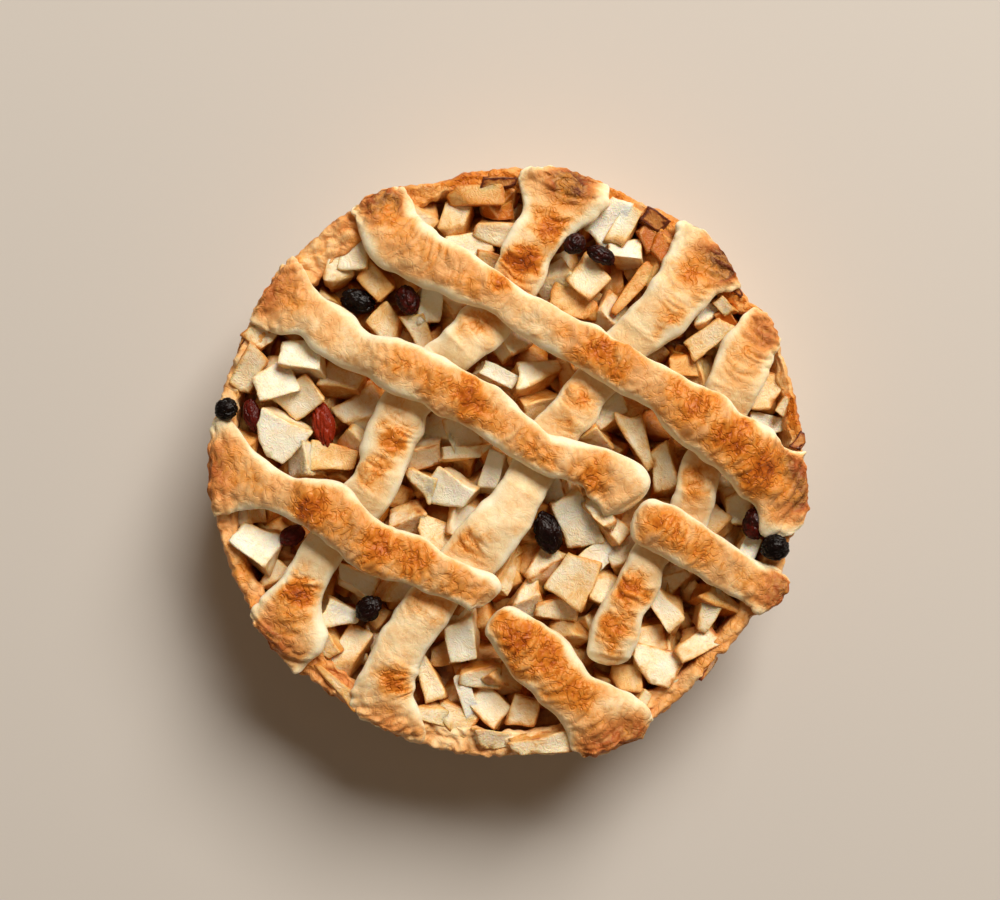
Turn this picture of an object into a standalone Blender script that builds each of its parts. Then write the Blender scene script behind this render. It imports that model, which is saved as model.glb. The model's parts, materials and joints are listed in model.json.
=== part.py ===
"""A round lattice pie: a shortcrust case, a heap of diced fruit, crossing dough strips and raisins.

The pie stands on Z = 0, with the middle of its case on the Z axis. Sizes below are in millimetres.
"""

import math
import random

import bmesh
import bpy
from mathutils import Matrix, Vector, noise
from mathutils.bvhtree import BVHTree

MM = 0.001
GAP = 0.4  # air between touching pieces, so that each stays its own solid

# The case, baked in a 200 mm round tin and turned out a little out of round.
CASE_RADIUS = 100.0
CASE_OVAL = 1.3
CASE_OVAL_TURN = math.radians(33)
CASE_STEPS = 80
RIM_HEIGHT = 48.0
WALL_THICKNESS = 6.0
BASE_THICKNESS = 7.0
RIM_RISE = 2.6  # how far the torn rim stands up between the strips
RIM_THICKENING = 1.3
RIM_BAND = 9.0  # the height over which the wall turns into the rim
CRAG = 0.45

# The filling: a core that is lower between the strips, with dice of fruit standing out of it.
CORE_STEPS = 72
CORE_RINGS = (9, 18, 27, 36, 45, 54, 63, 72, 80, 87)
CORE_SHOULDER = 43.0
RIDGE_AT_WALL = 46.4  # height of the core under the strips
DOME = 3.0
TROUGH = 7.0  # how much lower the core is between the strips
DICE_DEPTH = 12.0
DICE_EVERY = 12.5
LOOSE_DICE = (11.0, 8.5)  # mean length and width of the dice that no row below places
FILLING_SEED = 7

# Strips of dough, each a list of (x, y, width) down its middle. The first set lies under the second.
STATION_EVERY = 7.5
UNDER_THICKNESS = 0.46  # thickness as a share of the width
OVER_THICKNESS = 0.50
END_THICKNESS = 0.36  # the same where an end is pressed on the rim
SQUASH = 0.5  # how much of an under strip's thickness is pressed out where another crosses it
END_LENGTH = 8.0  # the stretch over which an end rounds off
LUMP = 0.5
UNDER_STRIPS = {
    "strip_under_top": [
        (20, 95, 24), (15, 85, 16), (9, 74, 18), (4, 63, 17), (-7, 48, 16), (-23, 32, 16),
        (-32, 23, 17), (-39, 10, 18), (-43, -4, 17), (-53, -19, 15), (-63, -31, 14),
        (-69, -42, 16), (-74, -52, 20), (-77, -61, 23),
    ],
    "strip_under_middle": [
        (70, 71, 19), (62, 61, 20), (53, 52, 19), (44, 42, 17), (28, 25, 15), (15, 8, 16),
        (6, -9, 16), (-6, -25, 19), (-20, -40, 17), (-32, -57, 17), (-39, -67, 18),
        (-41, -78, 20), (-39, -90, 19),
    ],
    "strip_under_right": [
        (87, 45, 14), (81, 36, 20), (77, 26, 17), (72, 10, 14), (66, -3, 14), (62, -17, 14),
        (49, -33, 13), (43, -43, 15), (38, -53, 15), (35, -63, 14),
    ],
}
OVER_STRIPS = {
    "strip_over_right": [
        (-43, 88, 15), (-38, 77, 20), (-27, 69, 19), (-14, 62, 16), (-3, 56, 13), (9, 48, 14),
        (31, 36, 15), (45, 28, 15), (58, 19, 18), (72, 9, 21), (84, 0, 23), (97, -10, 19),
    ],
    "strip_over_middle": [
        (-80, 58, 15), (-64, 48, 16), (-53, 39, 15), (-41, 34, 18), (-18, 24, 17), (-7, 17, 16),
        (11, 4, 14), (22, 0, 13), (31, -2, 15), (40, -10, 16),
    ],
    "strip_over_middle_end": [
        (45, -19, 13), (54, -23, 17), (62, -28, 17), (72, -34, 15), (80, -39, 14), (93, -46, 16),
    ],
    "strip_over_left": [
        (-99, -3, 19), (-86, -7, 16), (-74, -11, 14), (-63, -15, 18), (-53, -22, 18),
        (-42, -30, 18), (-30, -34, 16), (-18, -39, 14), (-9, -43, 12),
    ],
    "strip_over_left_end": [
        (-4, -51, 14), (3, -59, 19), (12, -68, 20), (21, -77, 20), (31, -87, 22), (38, -95, 25),
    ],
}

# Dice of fruit that stand out most: (x, y, length, width, turn in degrees, height over the ridge).
SHOWN_DICE = [
    (-59, 66, 13, 10, 80, 1), (-44, 62, 15, 8, -42, 1), (-27, 54, 14, 8, 88, 1),
    (-84, 43, 12, 8, 40, 3), (-69, 37, 15, 14, -8, 3), (-80, 29, 15, 14, 15, 3),
    (-71, 23, 16, 12, 40, 0), (-78, 9, 15, 13, -30, 3), (-55, 28, 13, 10, -10, 0),
    (-84, -28, 16, 14, -35, 3), (-79, -40, 11, 9, 50, 0), (-51, -41, 13, 7, -25, 1),
    (-57, -53, 13, 11, -20, 2), (-55, -67, 20, 9, 60, 1), (-29, 85, 12, 9, -50, 1),
    (-18, 82, 13, 9, 75, 1), (-4, 80, 14, 10, -20, 2), (-1, 89, 10, 7, 75, 1),
    (34, 84, 15, 8, 52, 2), (49, 78, 12, 8, -60, 2), (41, 72, 12, 9, -5, 2),
    (28, 62, 14, 12, -40, 3), (42, 59, 21, 6, 47, 1), (22, 53, 18, 11, -25, 1),
    (71, 50, 10, 9, 10, 1), (71, 42, 15, 6, 8, 0), (60, 35, 14, 9, -5, 0),
    (89, 24, 13, 11, 70, 2), (87, 12, 13, 8, -15, 0), (11, 29, 17, 11, 10, 1),
    (-3, 29, 14, 6, -25, 1), (34, 16, 11, 8, 35, 1), (45, 6, 21, 9, -72, 2),
    (54, -2, 15, 9, -75, 1), (78, -15, 13, 9, -75, 1), (-29, -6, 12, 10, -20, 1),
    (-20, -10, 15, 13, -40, 3), (-4, -3, 15, 7, 75, 1), (-15, 3, 15, 5, 3, 1),
    (-14, 11, 14, 11, -70, 1), (23, -18, 15, 13, -65, 2), (34, -21, 14, 8, -50, 3),
    (23, -40, 15, 13, 60, 3), (31, -32, 13, 9, 50, 0), (55, -49, 18, 8, -58, 2),
    (51, -70, 15, 12, -15, 3), (64, -62, 17, 9, 25, 2), (58, -76, 20, 5, 27, 1),
    (-15, -60, 15, 10, -75, 2), (-10, -72, 14, 9, -5, 2), (-14, -80, 15, 5, -70, 1),
    (-26, -74, 16, 8, -75, 1), (6, -85, 12, 10, 80, 1), (-17, -88, 12, 9, -20, 1),
]

# Raisins: (x, y, length, width, turn in degrees).
RAISIN_FLATNESS = 0.78
RAISIN_WRINKLE = 0.16
RAISINS = [
    (-51, 55, 12, 8.5, -20), (-34, 55, 10, 8, -60), (-95, 18, 8, 7.5, 20), (-87, 16, 11, 6, -75),
    (-63, 13, 16, 7.5, -82), (23, 74, 8, 7, 30), (32, 70, 10, 6, -25), (14, -24, 15, 9, -75),
    (84, -21, 11, 8.5, 80), (91, -29, 9.5, 9, 0), (-47, -50, 10, 8, 40), (-73, -25, 9, 7, 30),
]

COLOURS = {
    "crust": ((0.72, 0.46, 0.20), 0.75),
    "filling": ((0.86, 0.72, 0.44), 0.55),
    "strip": ((0.82, 0.60, 0.30), 0.70),
    "raisin": ((0.07, 0.02, 0.02), 0.35),
}


def smoothstep(value, low, high):
    share = min(max((value - low) / (high - low), 0.0), 1.0)
    return share * share * (3 - 2 * share)


def out_of_round(angle):
    """How many times the case's round radius it measures at this angle."""
    return 1 + CASE_OVAL * math.cos(2 * (angle - CASE_OVAL_TURN)) / CASE_RADIUS


def ridge(x, y):
    """Height of the core under the strips, a shallow dome."""
    return RIDGE_AT_WALL + DOME * (1 - (math.hypot(x, y) / CASE_RADIUS) ** 2)


def material(name):
    colour, roughness = COLOURS[name]
    made = bpy.data.materials.new(name)
    made.use_nodes = True
    shader = made.node_tree.nodes["Principled BSDF"]
    shader.inputs["Base Color"].default_value = (*colour, 1)
    shader.inputs["Roughness"].default_value = roughness
    made.diffuse_color = (*colour, 1)
    return made


def add_object(name, mesh, finish, collection):
    made = bpy.data.objects.new(name, mesh)
    mesh.materials.clear()
    mesh.materials.append(finish)
    collection.objects.link(made)
    return made


def evaluated_mesh(source):
    """The object's mesh with its modifiers applied, and the object removed."""
    bpy.context.view_layer.update()
    graph = bpy.context.evaluated_depsgraph_get()
    mesh = bpy.data.meshes.new_from_object(source.evaluated_get(graph))
    bpy.data.objects.remove(source)
    return mesh


def mesh_from(bm, name):
    mesh = bpy.data.meshes.new(name)
    bm.to_mesh(mesh)
    bm.free()
    return mesh


def turned_mesh(name, profile, steps):
    """The profile, a list of (radius, height) running down its outer side, turned about Z."""
    points = [(radius * MM, 0, height * MM) for radius, height in profile]
    edges = [(i, i + 1) for i in range(len(points) - 1)]
    outline = bpy.data.meshes.new(name)
    outline.from_pydata(points, edges, [])
    spun = bpy.data.objects.new(name, outline)
    bpy.context.scene.collection.objects.link(spun)
    screw = spun.modifiers.new("turn", "SCREW")
    screw.steps = screw.render_steps = steps
    screw.use_merge_vertices = True
    screw.merge_threshold = 0.00005
    return evaluated_mesh(spun)


def tree_of(mesh, offset=0.0):
    """A search tree of the mesh, with every point moved out by offset millimetres."""
    bm = bmesh.new()
    bm.from_mesh(mesh)
    bm.normal_update()
    for vertex in bm.verts:
        vertex.co += vertex.normal * offset * MM
    tree = BVHTree.FromBMesh(bm)
    bm.free()
    return tree


def along(points, every):
    """(place, width, length so far) about every millimetres down a smooth curve through the points."""
    rows = [Vector(p) for p in points]
    rows = [2 * rows[0] - rows[1], *rows, 2 * rows[-1] - rows[-2]]
    fine = []
    for a, b, c, d in zip(rows, rows[1:], rows[2:], rows[3:]):
        for i in range(20):
            t = i / 20
            fine.append(
                0.5 * (2 * b + (c - a) * t + (2 * a - 5 * b + 4 * c - d) * t**2
                       + (3 * b - a - 3 * c + d) * t**3)
            )
    fine.append(rows[-2])
    lengths = [0.0]
    for a, b in zip(fine, fine[1:]):
        lengths.append(lengths[-1] + (b.xy - a.xy).length)
    count = max(4, round(lengths[-1] / every))
    stations, k = [], 0
    for i in range(count + 1):
        wanted = lengths[-1] * i / count
        while k < len(fine) - 2 and lengths[k + 1] < wanted:
            k += 1
        share = (wanted - lengths[k]) / max(lengths[k + 1] - lengths[k], 1e-9)
        point = fine[k].lerp(fine[k + 1], min(share, 1))
        stations.append((point.xy, point.z, wanted))
    return stations


def strip_ends():
    """(angle, half the angle covered) of each strip end that lies on the rim."""
    ends = []
    for points in [*UNDER_STRIPS.values(), *OVER_STRIPS.values()]:
        for x, y, width in (points[0], points[-1]):
            if math.hypot(x, y) > CASE_RADIUS - 2.2 * WALL_THICKNESS:
                ends.append((math.atan2(y, x), (width / 2 + 2) / CASE_RADIUS))
    return ends


def free_rim(angle, ends):
    """0 where a strip is pressed on the rim, 1 where the rim is free."""
    free = 1.0
    for middle, half in ends:
        apart = abs((angle - middle + math.pi) % (2 * math.pi) - math.pi)
        free = min(free, smoothstep(apart, half, half + 0.07))
    return free


def make_crust(finish, collection):
    """The case: a flat base and an upright wall with a torn, uneven rim."""
    inner = CASE_RADIUS - WALL_THICKNESS
    profile = [
        (0, BASE_THICKNESS), (inner - 4, BASE_THICKNESS), (inner - 0.8, BASE_THICKNESS + 2.5),
        (inner - 0.2, 25), (inner, RIM_HEIGHT - RIM_BAND), (inner + 0.8, RIM_HEIGHT - 3),
        (inner + 2.2, RIM_HEIGHT), (CASE_RADIUS - 1.6, RIM_HEIGHT - 0.2),
        (CASE_RADIUS - 0.2, RIM_HEIGHT - 2.4), (CASE_RADIUS, RIM_HEIGHT - RIM_BAND),
        (CASE_RADIUS - 0.1, 20), (CASE_RADIUS - 0.5, 3), (CASE_RADIUS - 2.2, 0), (0, 0),
    ]
    mesh = turned_mesh("crust", profile, CASE_STEPS)
    ends = strip_ends()
    for vertex in mesh.vertices:
        x, y, z = vertex.co / MM
        radius, angle = math.hypot(x, y), math.atan2(y, x)
        if radius > inner - 6 and z > BASE_THICKNESS:
            around = Vector((math.cos(angle), math.sin(angle), 0))
            free = free_rim(angle, ends)
            band = smoothstep(z, RIM_HEIGHT - RIM_BAND, RIM_HEIGHT)
            wave = 0.5 + 0.5 * noise.noise(around * 5) + 0.4 * noise.noise(around * 19)
            z += RIM_RISE * free * band * max(wave, 0)
            if radius < inner + WALL_THICKNESS / 2:
                radius -= RIM_THICKENING * band * free * max(noise.noise(around * 4), 0)
            else:
                radius += CRAG * noise.noise(Vector((x, y, z * 2)) * 0.35)
        radius *= out_of_round(angle)
        vertex.co = Vector((radius * math.cos(angle), radius * math.sin(angle), z)) * MM
    return add_object("crust", mesh, finish, collection)


def strip_cover(x, y, routes):
    """1 under a strip's middle, 0 well clear of every strip."""
    cover = 0.0
    for stations in routes:
        for place, width, _ in stations:
            apart = math.hypot(x - place.x, y - place.y)
            cover = max(cover, 1 - smoothstep(apart, 0.45 * width, 0.5 * width + 4))
    return cover


def make_core(finish, collection):
    """The filling's core, a disc with its top in ridges under the strips."""
    edge = CASE_RADIUS - WALL_THICKNESS - GAP - 0.6
    profile = [(0, RIM_HEIGHT)] + [(radius, RIM_HEIGHT) for radius in CORE_RINGS]
    profile += [
        (edge, CORE_SHOULDER), (edge - 0.3, BASE_THICKNESS + 3),
        (edge - 4, BASE_THICKNESS + GAP), (0, BASE_THICKNESS + GAP),
    ]
    mesh = turned_mesh("filling", profile, CORE_STEPS)
    routes = [along(p, 3.0) for p in [*UNDER_STRIPS.values(), *OVER_STRIPS.values()]]
    for vertex in mesh.vertices:
        x, y, z = vertex.co / MM
        stretch = out_of_round(math.atan2(y, x))
        x, y = x * stretch, y * stretch
        if z > CORE_SHOULDER + 1:
            bump = 1.2 * noise.noise(Vector((x, y, 3)) * 0.11)
            z = ridge(x, y) - (TROUGH + bump) * (1 - strip_cover(x, y, routes))
        vertex.co = Vector((x, y, z)) * MM
    return add_object("filling", mesh, finish, collection)


def on_rim(place):
    """1 where a strip lies on the rim, 0 where it lies on the filling."""
    return smoothstep(place.length, CASE_RADIUS - 22, CASE_RADIUS - 8)


def support_under(place, width, trees):
    """Height that a strip of this width rests at: the ridge, the rim and any strip below it."""
    high = max(ridge(*place), RIM_HEIGHT if place.length > CASE_RADIUS - 14 else 0)
    reach = width / 2 + 1
    for i in range(-3, 4):
        for j in range(-3, 4):
            at = place + Vector((i, j)) * reach / 3
            for tree in trees:
                hit = tree.ray_cast(Vector((*at, 200)) * MM, Vector((0, 0, -1)))[0]
                if hit:
                    high = max(high, hit.z / MM)
    return high


def smooth_bases(bases, reach):
    """The heights widened and then averaged over reach stations each way, so none ends lower."""
    count = len(bases)
    wide = [max(bases[max(0, i - reach):i + reach + 1]) for i in range(count)]
    return [
        sum(wide[max(0, i - reach):i + reach + 1]) / len(wide[max(0, i - reach):i + reach + 1])
        for i in range(count)
    ]


def make_strip(name, points, share, trees, crossing, finish, collection):
    """A strip of dough, flat below and domed above, lofted along its route with rounded ends.

    It is pressed thinner on the rim, and where a strip of the crossing routes lies on it.
    """
    section = [
        (-0.72, 0), (0, 0), (0.72, 0), (1, 0.35), (0.84, 0.76), (0.45, 0.96), (0, 1),
        (-0.45, 0.96), (-0.84, 0.76), (-1, 0.35),
    ]
    stations = along(points, STATION_EVERY)
    bases = [support_under(place, width, trees) for place, width, _ in stations]
    bases = smooth_bases(bases, 1)
    marks = [0.0, 0.12, 0.45, 1.0]  # extra rings at both ends carry the rounding
    rings = []
    bm = bmesh.new()
    for i, (place, width, done) in enumerate(stations):
        before, after = stations[max(i - 1, 0)][0], stations[min(i + 1, len(stations) - 1)][0]
        ahead = (after - before).normalized()
        side = Vector((-ahead.y, ahead.x))
        shares = [1.0]
        if i == 0:
            shares = marks
        elif i == len(stations) - 1:
            shares = marks[::-1]
        for mark in shares:
            # mark is how far in from the tip this ring is, as a share of the end's length.
            shift = (1 - mark) * END_LENGTH * 0.5 * (-1 if i == 0 else 1)
            full = math.sqrt(1 - (1 - mark) ** 2) * 0.8 + 0.2
            middle = place + ahead * (shift if len(shares) > 1 else 0)
            lump = 1 + 0.06 * noise.noise(Vector((*middle, 5)) * 0.12)
            half = width / 2 * full * lump
            thick = share + (END_THICKNESS - share) * on_rim(middle)
            thick *= 1 - SQUASH * strip_cover(*middle, crossing)
            thick *= width * (0.35 + 0.65 * full) * lump
            ring = []
            for u, v in section:
                at = middle + side * u * half
                z = bases[i] + GAP + v * thick
                if v > 0.5:
                    z += LUMP * noise.noise(Vector((*at, 11)) * 0.25)
                ring.append(bm.verts.new(Vector((*at, z)) * MM))
            rings.append(ring)
    for low, high in zip(rings, rings[1:]):
        for k in range(len(section)):
            after = (k + 1) % len(section)
            bm.faces.new((low[k], low[after], high[after], high[k]))
    bm.faces.new(rings[0][::-1])
    bm.faces.new(rings[-1])
    bmesh.ops.recalc_face_normals(bm, faces=bm.faces)
    return add_object(name, mesh_from(bm, name), finish, collection)


def dice_mesh(size, draw):
    """A die of fruit as it is cut from a quarter: a block whose sides taper, its corners uneven."""
    bm = bmesh.new()
    bmesh.ops.create_cube(bm, size=1)
    taper = draw.uniform(0.45, 1.0)
    lean = draw.uniform(-0.2, 0.2)
    for vertex in bm.verts:
        x, y, z = vertex.co
        if z > 0:
            y = y * taper + lean
        x *= 1 + draw.uniform(-0.12, 0.12)
        y *= 1 + draw.uniform(-0.12, 0.12)
        z *= 1 + draw.uniform(-0.08, 0.08)
        vertex.co = Vector((x * size[0], y * size[1], z * size[2])) * MM
    return mesh_from(bm, "die")


def place_dice(row, draw, obstacles, finish, collection):
    """Adds a die where it is clear of every obstacle: moved a little or shortened, or else left out."""
    x, y, length, width, turn, rise = row
    lean = Matrix.Rotation(math.radians(draw.uniform(-22, 22)), 4, "X")
    lean @= Matrix.Rotation(math.radians(draw.uniform(-14, 14)), 4, "Y")
    spin = Matrix.Rotation(math.radians(turn), 4, "Z") @ lean
    seed = draw.random()
    for scale in (1.0, 0.9, 0.8, 0.7):
        mesh = dice_mesh((length * scale, width * scale, DICE_DEPTH), random.Random(seed))
        mesh.transform(spin)
        top = max(vertex.co.z for vertex in mesh.vertices) / MM
        for move in (0, 1.2, 2.4, 3.6):
            for step in range(8 if move else 1):
                angle = step * math.pi / 4
                at = Vector((x + move * math.cos(angle), y + move * math.sin(angle)))
                lift = ridge(*at) + rise - top
                trial = mesh.copy()
                trial.transform(Matrix.Translation(Vector((*at, lift)) * MM))
                tree = tree_of(trial)
                if not any(tree.overlap(other) for other in obstacles):
                    return add_object("die", trial, finish, collection)
                bpy.data.meshes.remove(trial)
    return None


def loose_rows(draw):
    """Rows for the dice that fill the space left, on an even spiral over the whole filling."""
    count = round((CASE_RADIUS - WALL_THICKNESS - 3) ** 2 * math.pi / DICE_EVERY**2)
    rows = []
    for i in range(count):
        radius = (CASE_RADIUS - WALL_THICKNESS - 4) * math.sqrt((i + 0.5) / count)
        angle = i * math.pi * (3 - math.sqrt(5))
        length, width = (mean * draw.uniform(0.8, 1.25) for mean in LOOSE_DICE)
        rows.append((
            radius * math.cos(angle), radius * math.sin(angle), length, width,
            draw.uniform(0, 180), draw.uniform(-3.5, 0.5),
        ))
    return rows


def covered(row, taken):
    """Whether a die of the rows placed so far already fills this row's place."""
    return any(math.hypot(row[0] - x, row[1] - y) < 0.42 * (a + row[2]) for x, y, a in taken)


def make_raisin(name, row, obstacles, resting, finish, collection):
    """A wrinkled raisin, lowered until it nearly touches what is under it."""
    x, y, length, width, turn = row
    bm = bmesh.new()
    bmesh.ops.create_icosphere(bm, subdivisions=2, radius=1)
    for vertex in bm.verts:
        wrinkle = 1 + RAISIN_WRINKLE * noise.noise(vertex.co * 2.3 + Vector((x, y, 0)))
        vertex.co *= wrinkle
        vertex.co.x *= length / 2 * MM
        vertex.co.y *= width / 2 * MM
        vertex.co.z *= width / 2 * RAISIN_FLATNESS * MM
    mesh = mesh_from(bm, name)
    mesh.transform(Matrix.Rotation(math.radians(turn), 4, "Z"))
    mesh.transform(Matrix.Translation(Vector((x, y, ridge(x, y) + 25)) * MM))
    for step in (2.0, 0.2):
        drop = Matrix.Translation((0, 0, -step * MM))
        while not any(tree_of(mesh, GAP).overlap(other) for other in resting + obstacles):
            mesh.transform(drop)
        mesh.transform(drop.inverted())
    return add_object(name, mesh, finish, collection)


def union_into(core, dice):
    """Joins the dice to the core by one union, and removes them."""
    union = core.modifiers.new("dice", "BOOLEAN")
    union.operation = "UNION"
    union.operand_type = "COLLECTION"
    union.collection = dice
    union.solver = "MANIFOLD"
    name, finish, home = core.name, core.data.materials[0], core.users_collection[0]
    mesh = evaluated_mesh(core)
    for die in list(dice.objects):
        bpy.data.objects.remove(die)
    bpy.data.collections.remove(dice)
    bm = bmesh.new()
    bm.from_mesh(mesh)
    bmesh.ops.triangulate(bm, faces=bm.faces)
    bm.to_mesh(mesh)
    bm.free()
    return add_object(name, mesh, finish, home)


def main():
    for old in list(bpy.data.objects):
        bpy.data.objects.remove(old)
    pie = bpy.data.collections.new("lattice_pie")
    dice = bpy.data.collections.new("dice")
    for collection in (pie, dice):
        bpy.context.scene.collection.children.link(collection)
    finishes = {name: material(name) for name in COLOURS}

    crust = make_crust(finishes["crust"], pie)
    dough = finishes["strip"]
    crossing = [along(points, 3.0) for points in OVER_STRIPS.values()]
    strips = []
    for name, points in UNDER_STRIPS.items():
        strips.append(make_strip(name, points, UNDER_THICKNESS, [], crossing, dough, pie))
    below = [tree_of(strip.data) for strip in strips]
    for name, points in OVER_STRIPS.items():
        strips.append(make_strip(name, points, OVER_THICKNESS, below, [], dough, pie))

    core = make_core(finishes["filling"], pie)
    draw = random.Random(FILLING_SEED)
    obstacles = [tree_of(piece.data, GAP) for piece in [crust, *strips]]
    taken, shown = [], []
    for row in SHOWN_DICE:
        die = place_dice(row, draw, obstacles, finishes["filling"], dice)
        if die:
            shown.append(tree_of(die.data))
            taken.append(row[:3])
    resting = [tree_of(core.data), *shown]
    for number, row in enumerate(RAISINS, 1):
        raisin = make_raisin(
            f"raisin_{number}", row, obstacles, resting, finishes["raisin"], pie
        )
        resting.append(tree_of(raisin.data))
        obstacles.append(tree_of(raisin.data, GAP))
    for row in loose_rows(draw):
        if not covered(row, taken) and place_dice(row, draw, obstacles, finishes["filling"], dice):
            taken.append(row[:3])
    union_into(core, dice)


main()
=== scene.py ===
"""Looks of a lattice apple pie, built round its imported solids.

The pie is a shortcrust case, a heap of diced apple with raisins, and a lattice of dough under
egg wash. Plain numbers in the lists are millimetres, with the middle of the pie's underside at
the origin.
"""

import json
import math
import random

import bmesh
import bpy
import numpy as np
from bpy.props import FloatProperty, FloatVectorProperty, IntProperty, PointerProperty
from bpy.types import Operator, Panel, PropertyGroup
from mathutils import Euler, Matrix, Vector, noise
from mathutils.bvhtree import BVHTree

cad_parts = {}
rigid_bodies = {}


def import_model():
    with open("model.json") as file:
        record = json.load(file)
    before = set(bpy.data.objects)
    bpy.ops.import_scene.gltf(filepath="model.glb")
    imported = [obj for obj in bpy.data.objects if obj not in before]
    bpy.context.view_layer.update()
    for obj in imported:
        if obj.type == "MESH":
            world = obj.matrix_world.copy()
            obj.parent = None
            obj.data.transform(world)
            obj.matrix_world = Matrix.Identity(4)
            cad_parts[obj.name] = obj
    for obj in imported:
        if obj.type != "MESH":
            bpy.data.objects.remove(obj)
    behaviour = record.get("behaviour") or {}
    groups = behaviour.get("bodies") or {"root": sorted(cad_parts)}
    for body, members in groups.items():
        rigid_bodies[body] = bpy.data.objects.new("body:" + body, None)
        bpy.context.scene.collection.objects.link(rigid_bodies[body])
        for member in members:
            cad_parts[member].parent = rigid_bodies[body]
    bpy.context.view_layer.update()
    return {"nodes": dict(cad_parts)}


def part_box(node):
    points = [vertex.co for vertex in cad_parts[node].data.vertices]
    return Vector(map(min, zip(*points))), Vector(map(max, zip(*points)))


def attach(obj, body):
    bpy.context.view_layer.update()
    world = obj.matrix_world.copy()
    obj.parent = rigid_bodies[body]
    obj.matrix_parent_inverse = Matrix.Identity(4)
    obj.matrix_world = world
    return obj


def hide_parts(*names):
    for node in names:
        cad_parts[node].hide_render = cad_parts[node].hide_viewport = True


bl_info = {
    "name": "Lattice apple pie",
    "version": (1, 0, 0),
    "blender": (4, 5, 0),
    "location": "3D View > Sidebar > Pie",
    "description": "Builds the case, apple heap, raisins and dough lattice of an apple pie",
    "category": "Add Mesh",
}

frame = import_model()
MM = 0.001

CASE_RADIUS = 100.0
CASE_OVAL = 1.3
CASE_OVAL_TURN = math.radians(33)
RIM_HEIGHT = 48.0
INNER_RADIUS = 94.4
FOOT_RADIUS = 97.6
BASE_TOP = 7.5
HEAP_EDGE = 46.4
DOME = 3.0
# The case and the dice reach no further than this where strips hang over the rim.
CASE_REACH = 101.5
# Voxels that a die's skin is made from, as a share of its width.
DIE_VOXEL = 0.05
# How far from its middle a raisin and a loose die keep others, and how far apart the dice
# under those lie.
RAISIN_ROOM = 5.5
DIE_ROOM = 4.4
DEEP_SPACING = 8.5

# The camera looks straight down from this many metres over the rim. There each of the frame's
# pixels is this big, and the frame's middle lies this many pixels from the pie's.
CAMERA_DISTANCE = 0.65
FRAME_WIDTH = 1000
PIXEL = 0.3413
FRAME_SHIFT = (-7, 12)

MATH = "ShaderNodeMath"
RAMP = "ShaderNodeValToRGB"
RANGE = "ShaderNodeMapRange"

# Dough strips, each a list of (x, y, width) down its middle, as the solids have them but for four
# ends. strip_under_right, strip_over_left and strip_over_middle run 5 to 6 mm further, to meet the
# next strip, and strip_over_middle_end starts 3 mm sooner. The last two are wider there.
STRIPS = {
    "strip_under_top": [
        (20, 95, 24), (15, 85, 16), (9, 74, 18), (4, 63, 17), (-7, 48, 16), (-23, 32, 16),
        (-32, 23, 17), (-39, 10, 18), (-43, -4, 17), (-53, -19, 15), (-63, -31, 14),
        (-69, -42, 16), (-74, -52, 20), (-77, -61, 23),
    ],
    "strip_under_middle": [
        (70, 71, 19), (62, 61, 20), (53, 52, 19), (44, 42, 17), (28, 25, 15), (15, 8, 16),
        (6, -9, 16), (-6, -25, 19), (-20, -40, 17), (-32, -57, 17), (-39, -67, 18),
        (-41, -78, 20), (-39, -90, 19),
    ],
    "strip_under_right": [
        (87, 45, 14), (81, 36, 20), (77, 26, 17), (72, 10, 14), (66, -3, 14), (62, -17, 14),
        (49, -33, 13), (43, -43, 15), (38, -53, 15), (35, -63, 15), (34, -69, 16),
    ],
    "strip_over_right": [
        (-43, 88, 15), (-38, 77, 20), (-27, 69, 19), (-14, 62, 16), (-3, 56, 13), (9, 48, 14),
        (31, 36, 15), (45, 28, 15), (58, 19, 18), (72, 9, 21), (84, 0, 23), (97, -10, 19),
    ],
    "strip_over_middle": [
        (-80, 58, 15), (-64, 48, 16), (-53, 39, 15), (-41, 34, 18), (-18, 24, 17), (-7, 17, 16),
        (11, 4, 14), (22, 0, 13), (31, -3, 17), (39, -10, 20), (43, -15, 18),
    ],
    "strip_over_middle_end": [
        (43, -17, 15), (54, -23, 17), (62, -28, 17), (72, -34, 15), (80, -39, 14), (93, -46, 16),
    ],
    "strip_over_left": [
        (-99, -3, 19), (-86, -7, 16), (-74, -11, 14), (-63, -15, 18), (-53, -22, 18),
        (-42, -30, 18), (-30, -34, 16), (-18, -39, 14), (-9, -44, 13), (-6, -47, 13),
    ],
    "strip_over_left_end": [
        (-4, -51, 14), (3, -59, 19), (12, -68, 20), (21, -77, 20), (31, -87, 22), (38, -95, 25),
    ],
}

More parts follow.
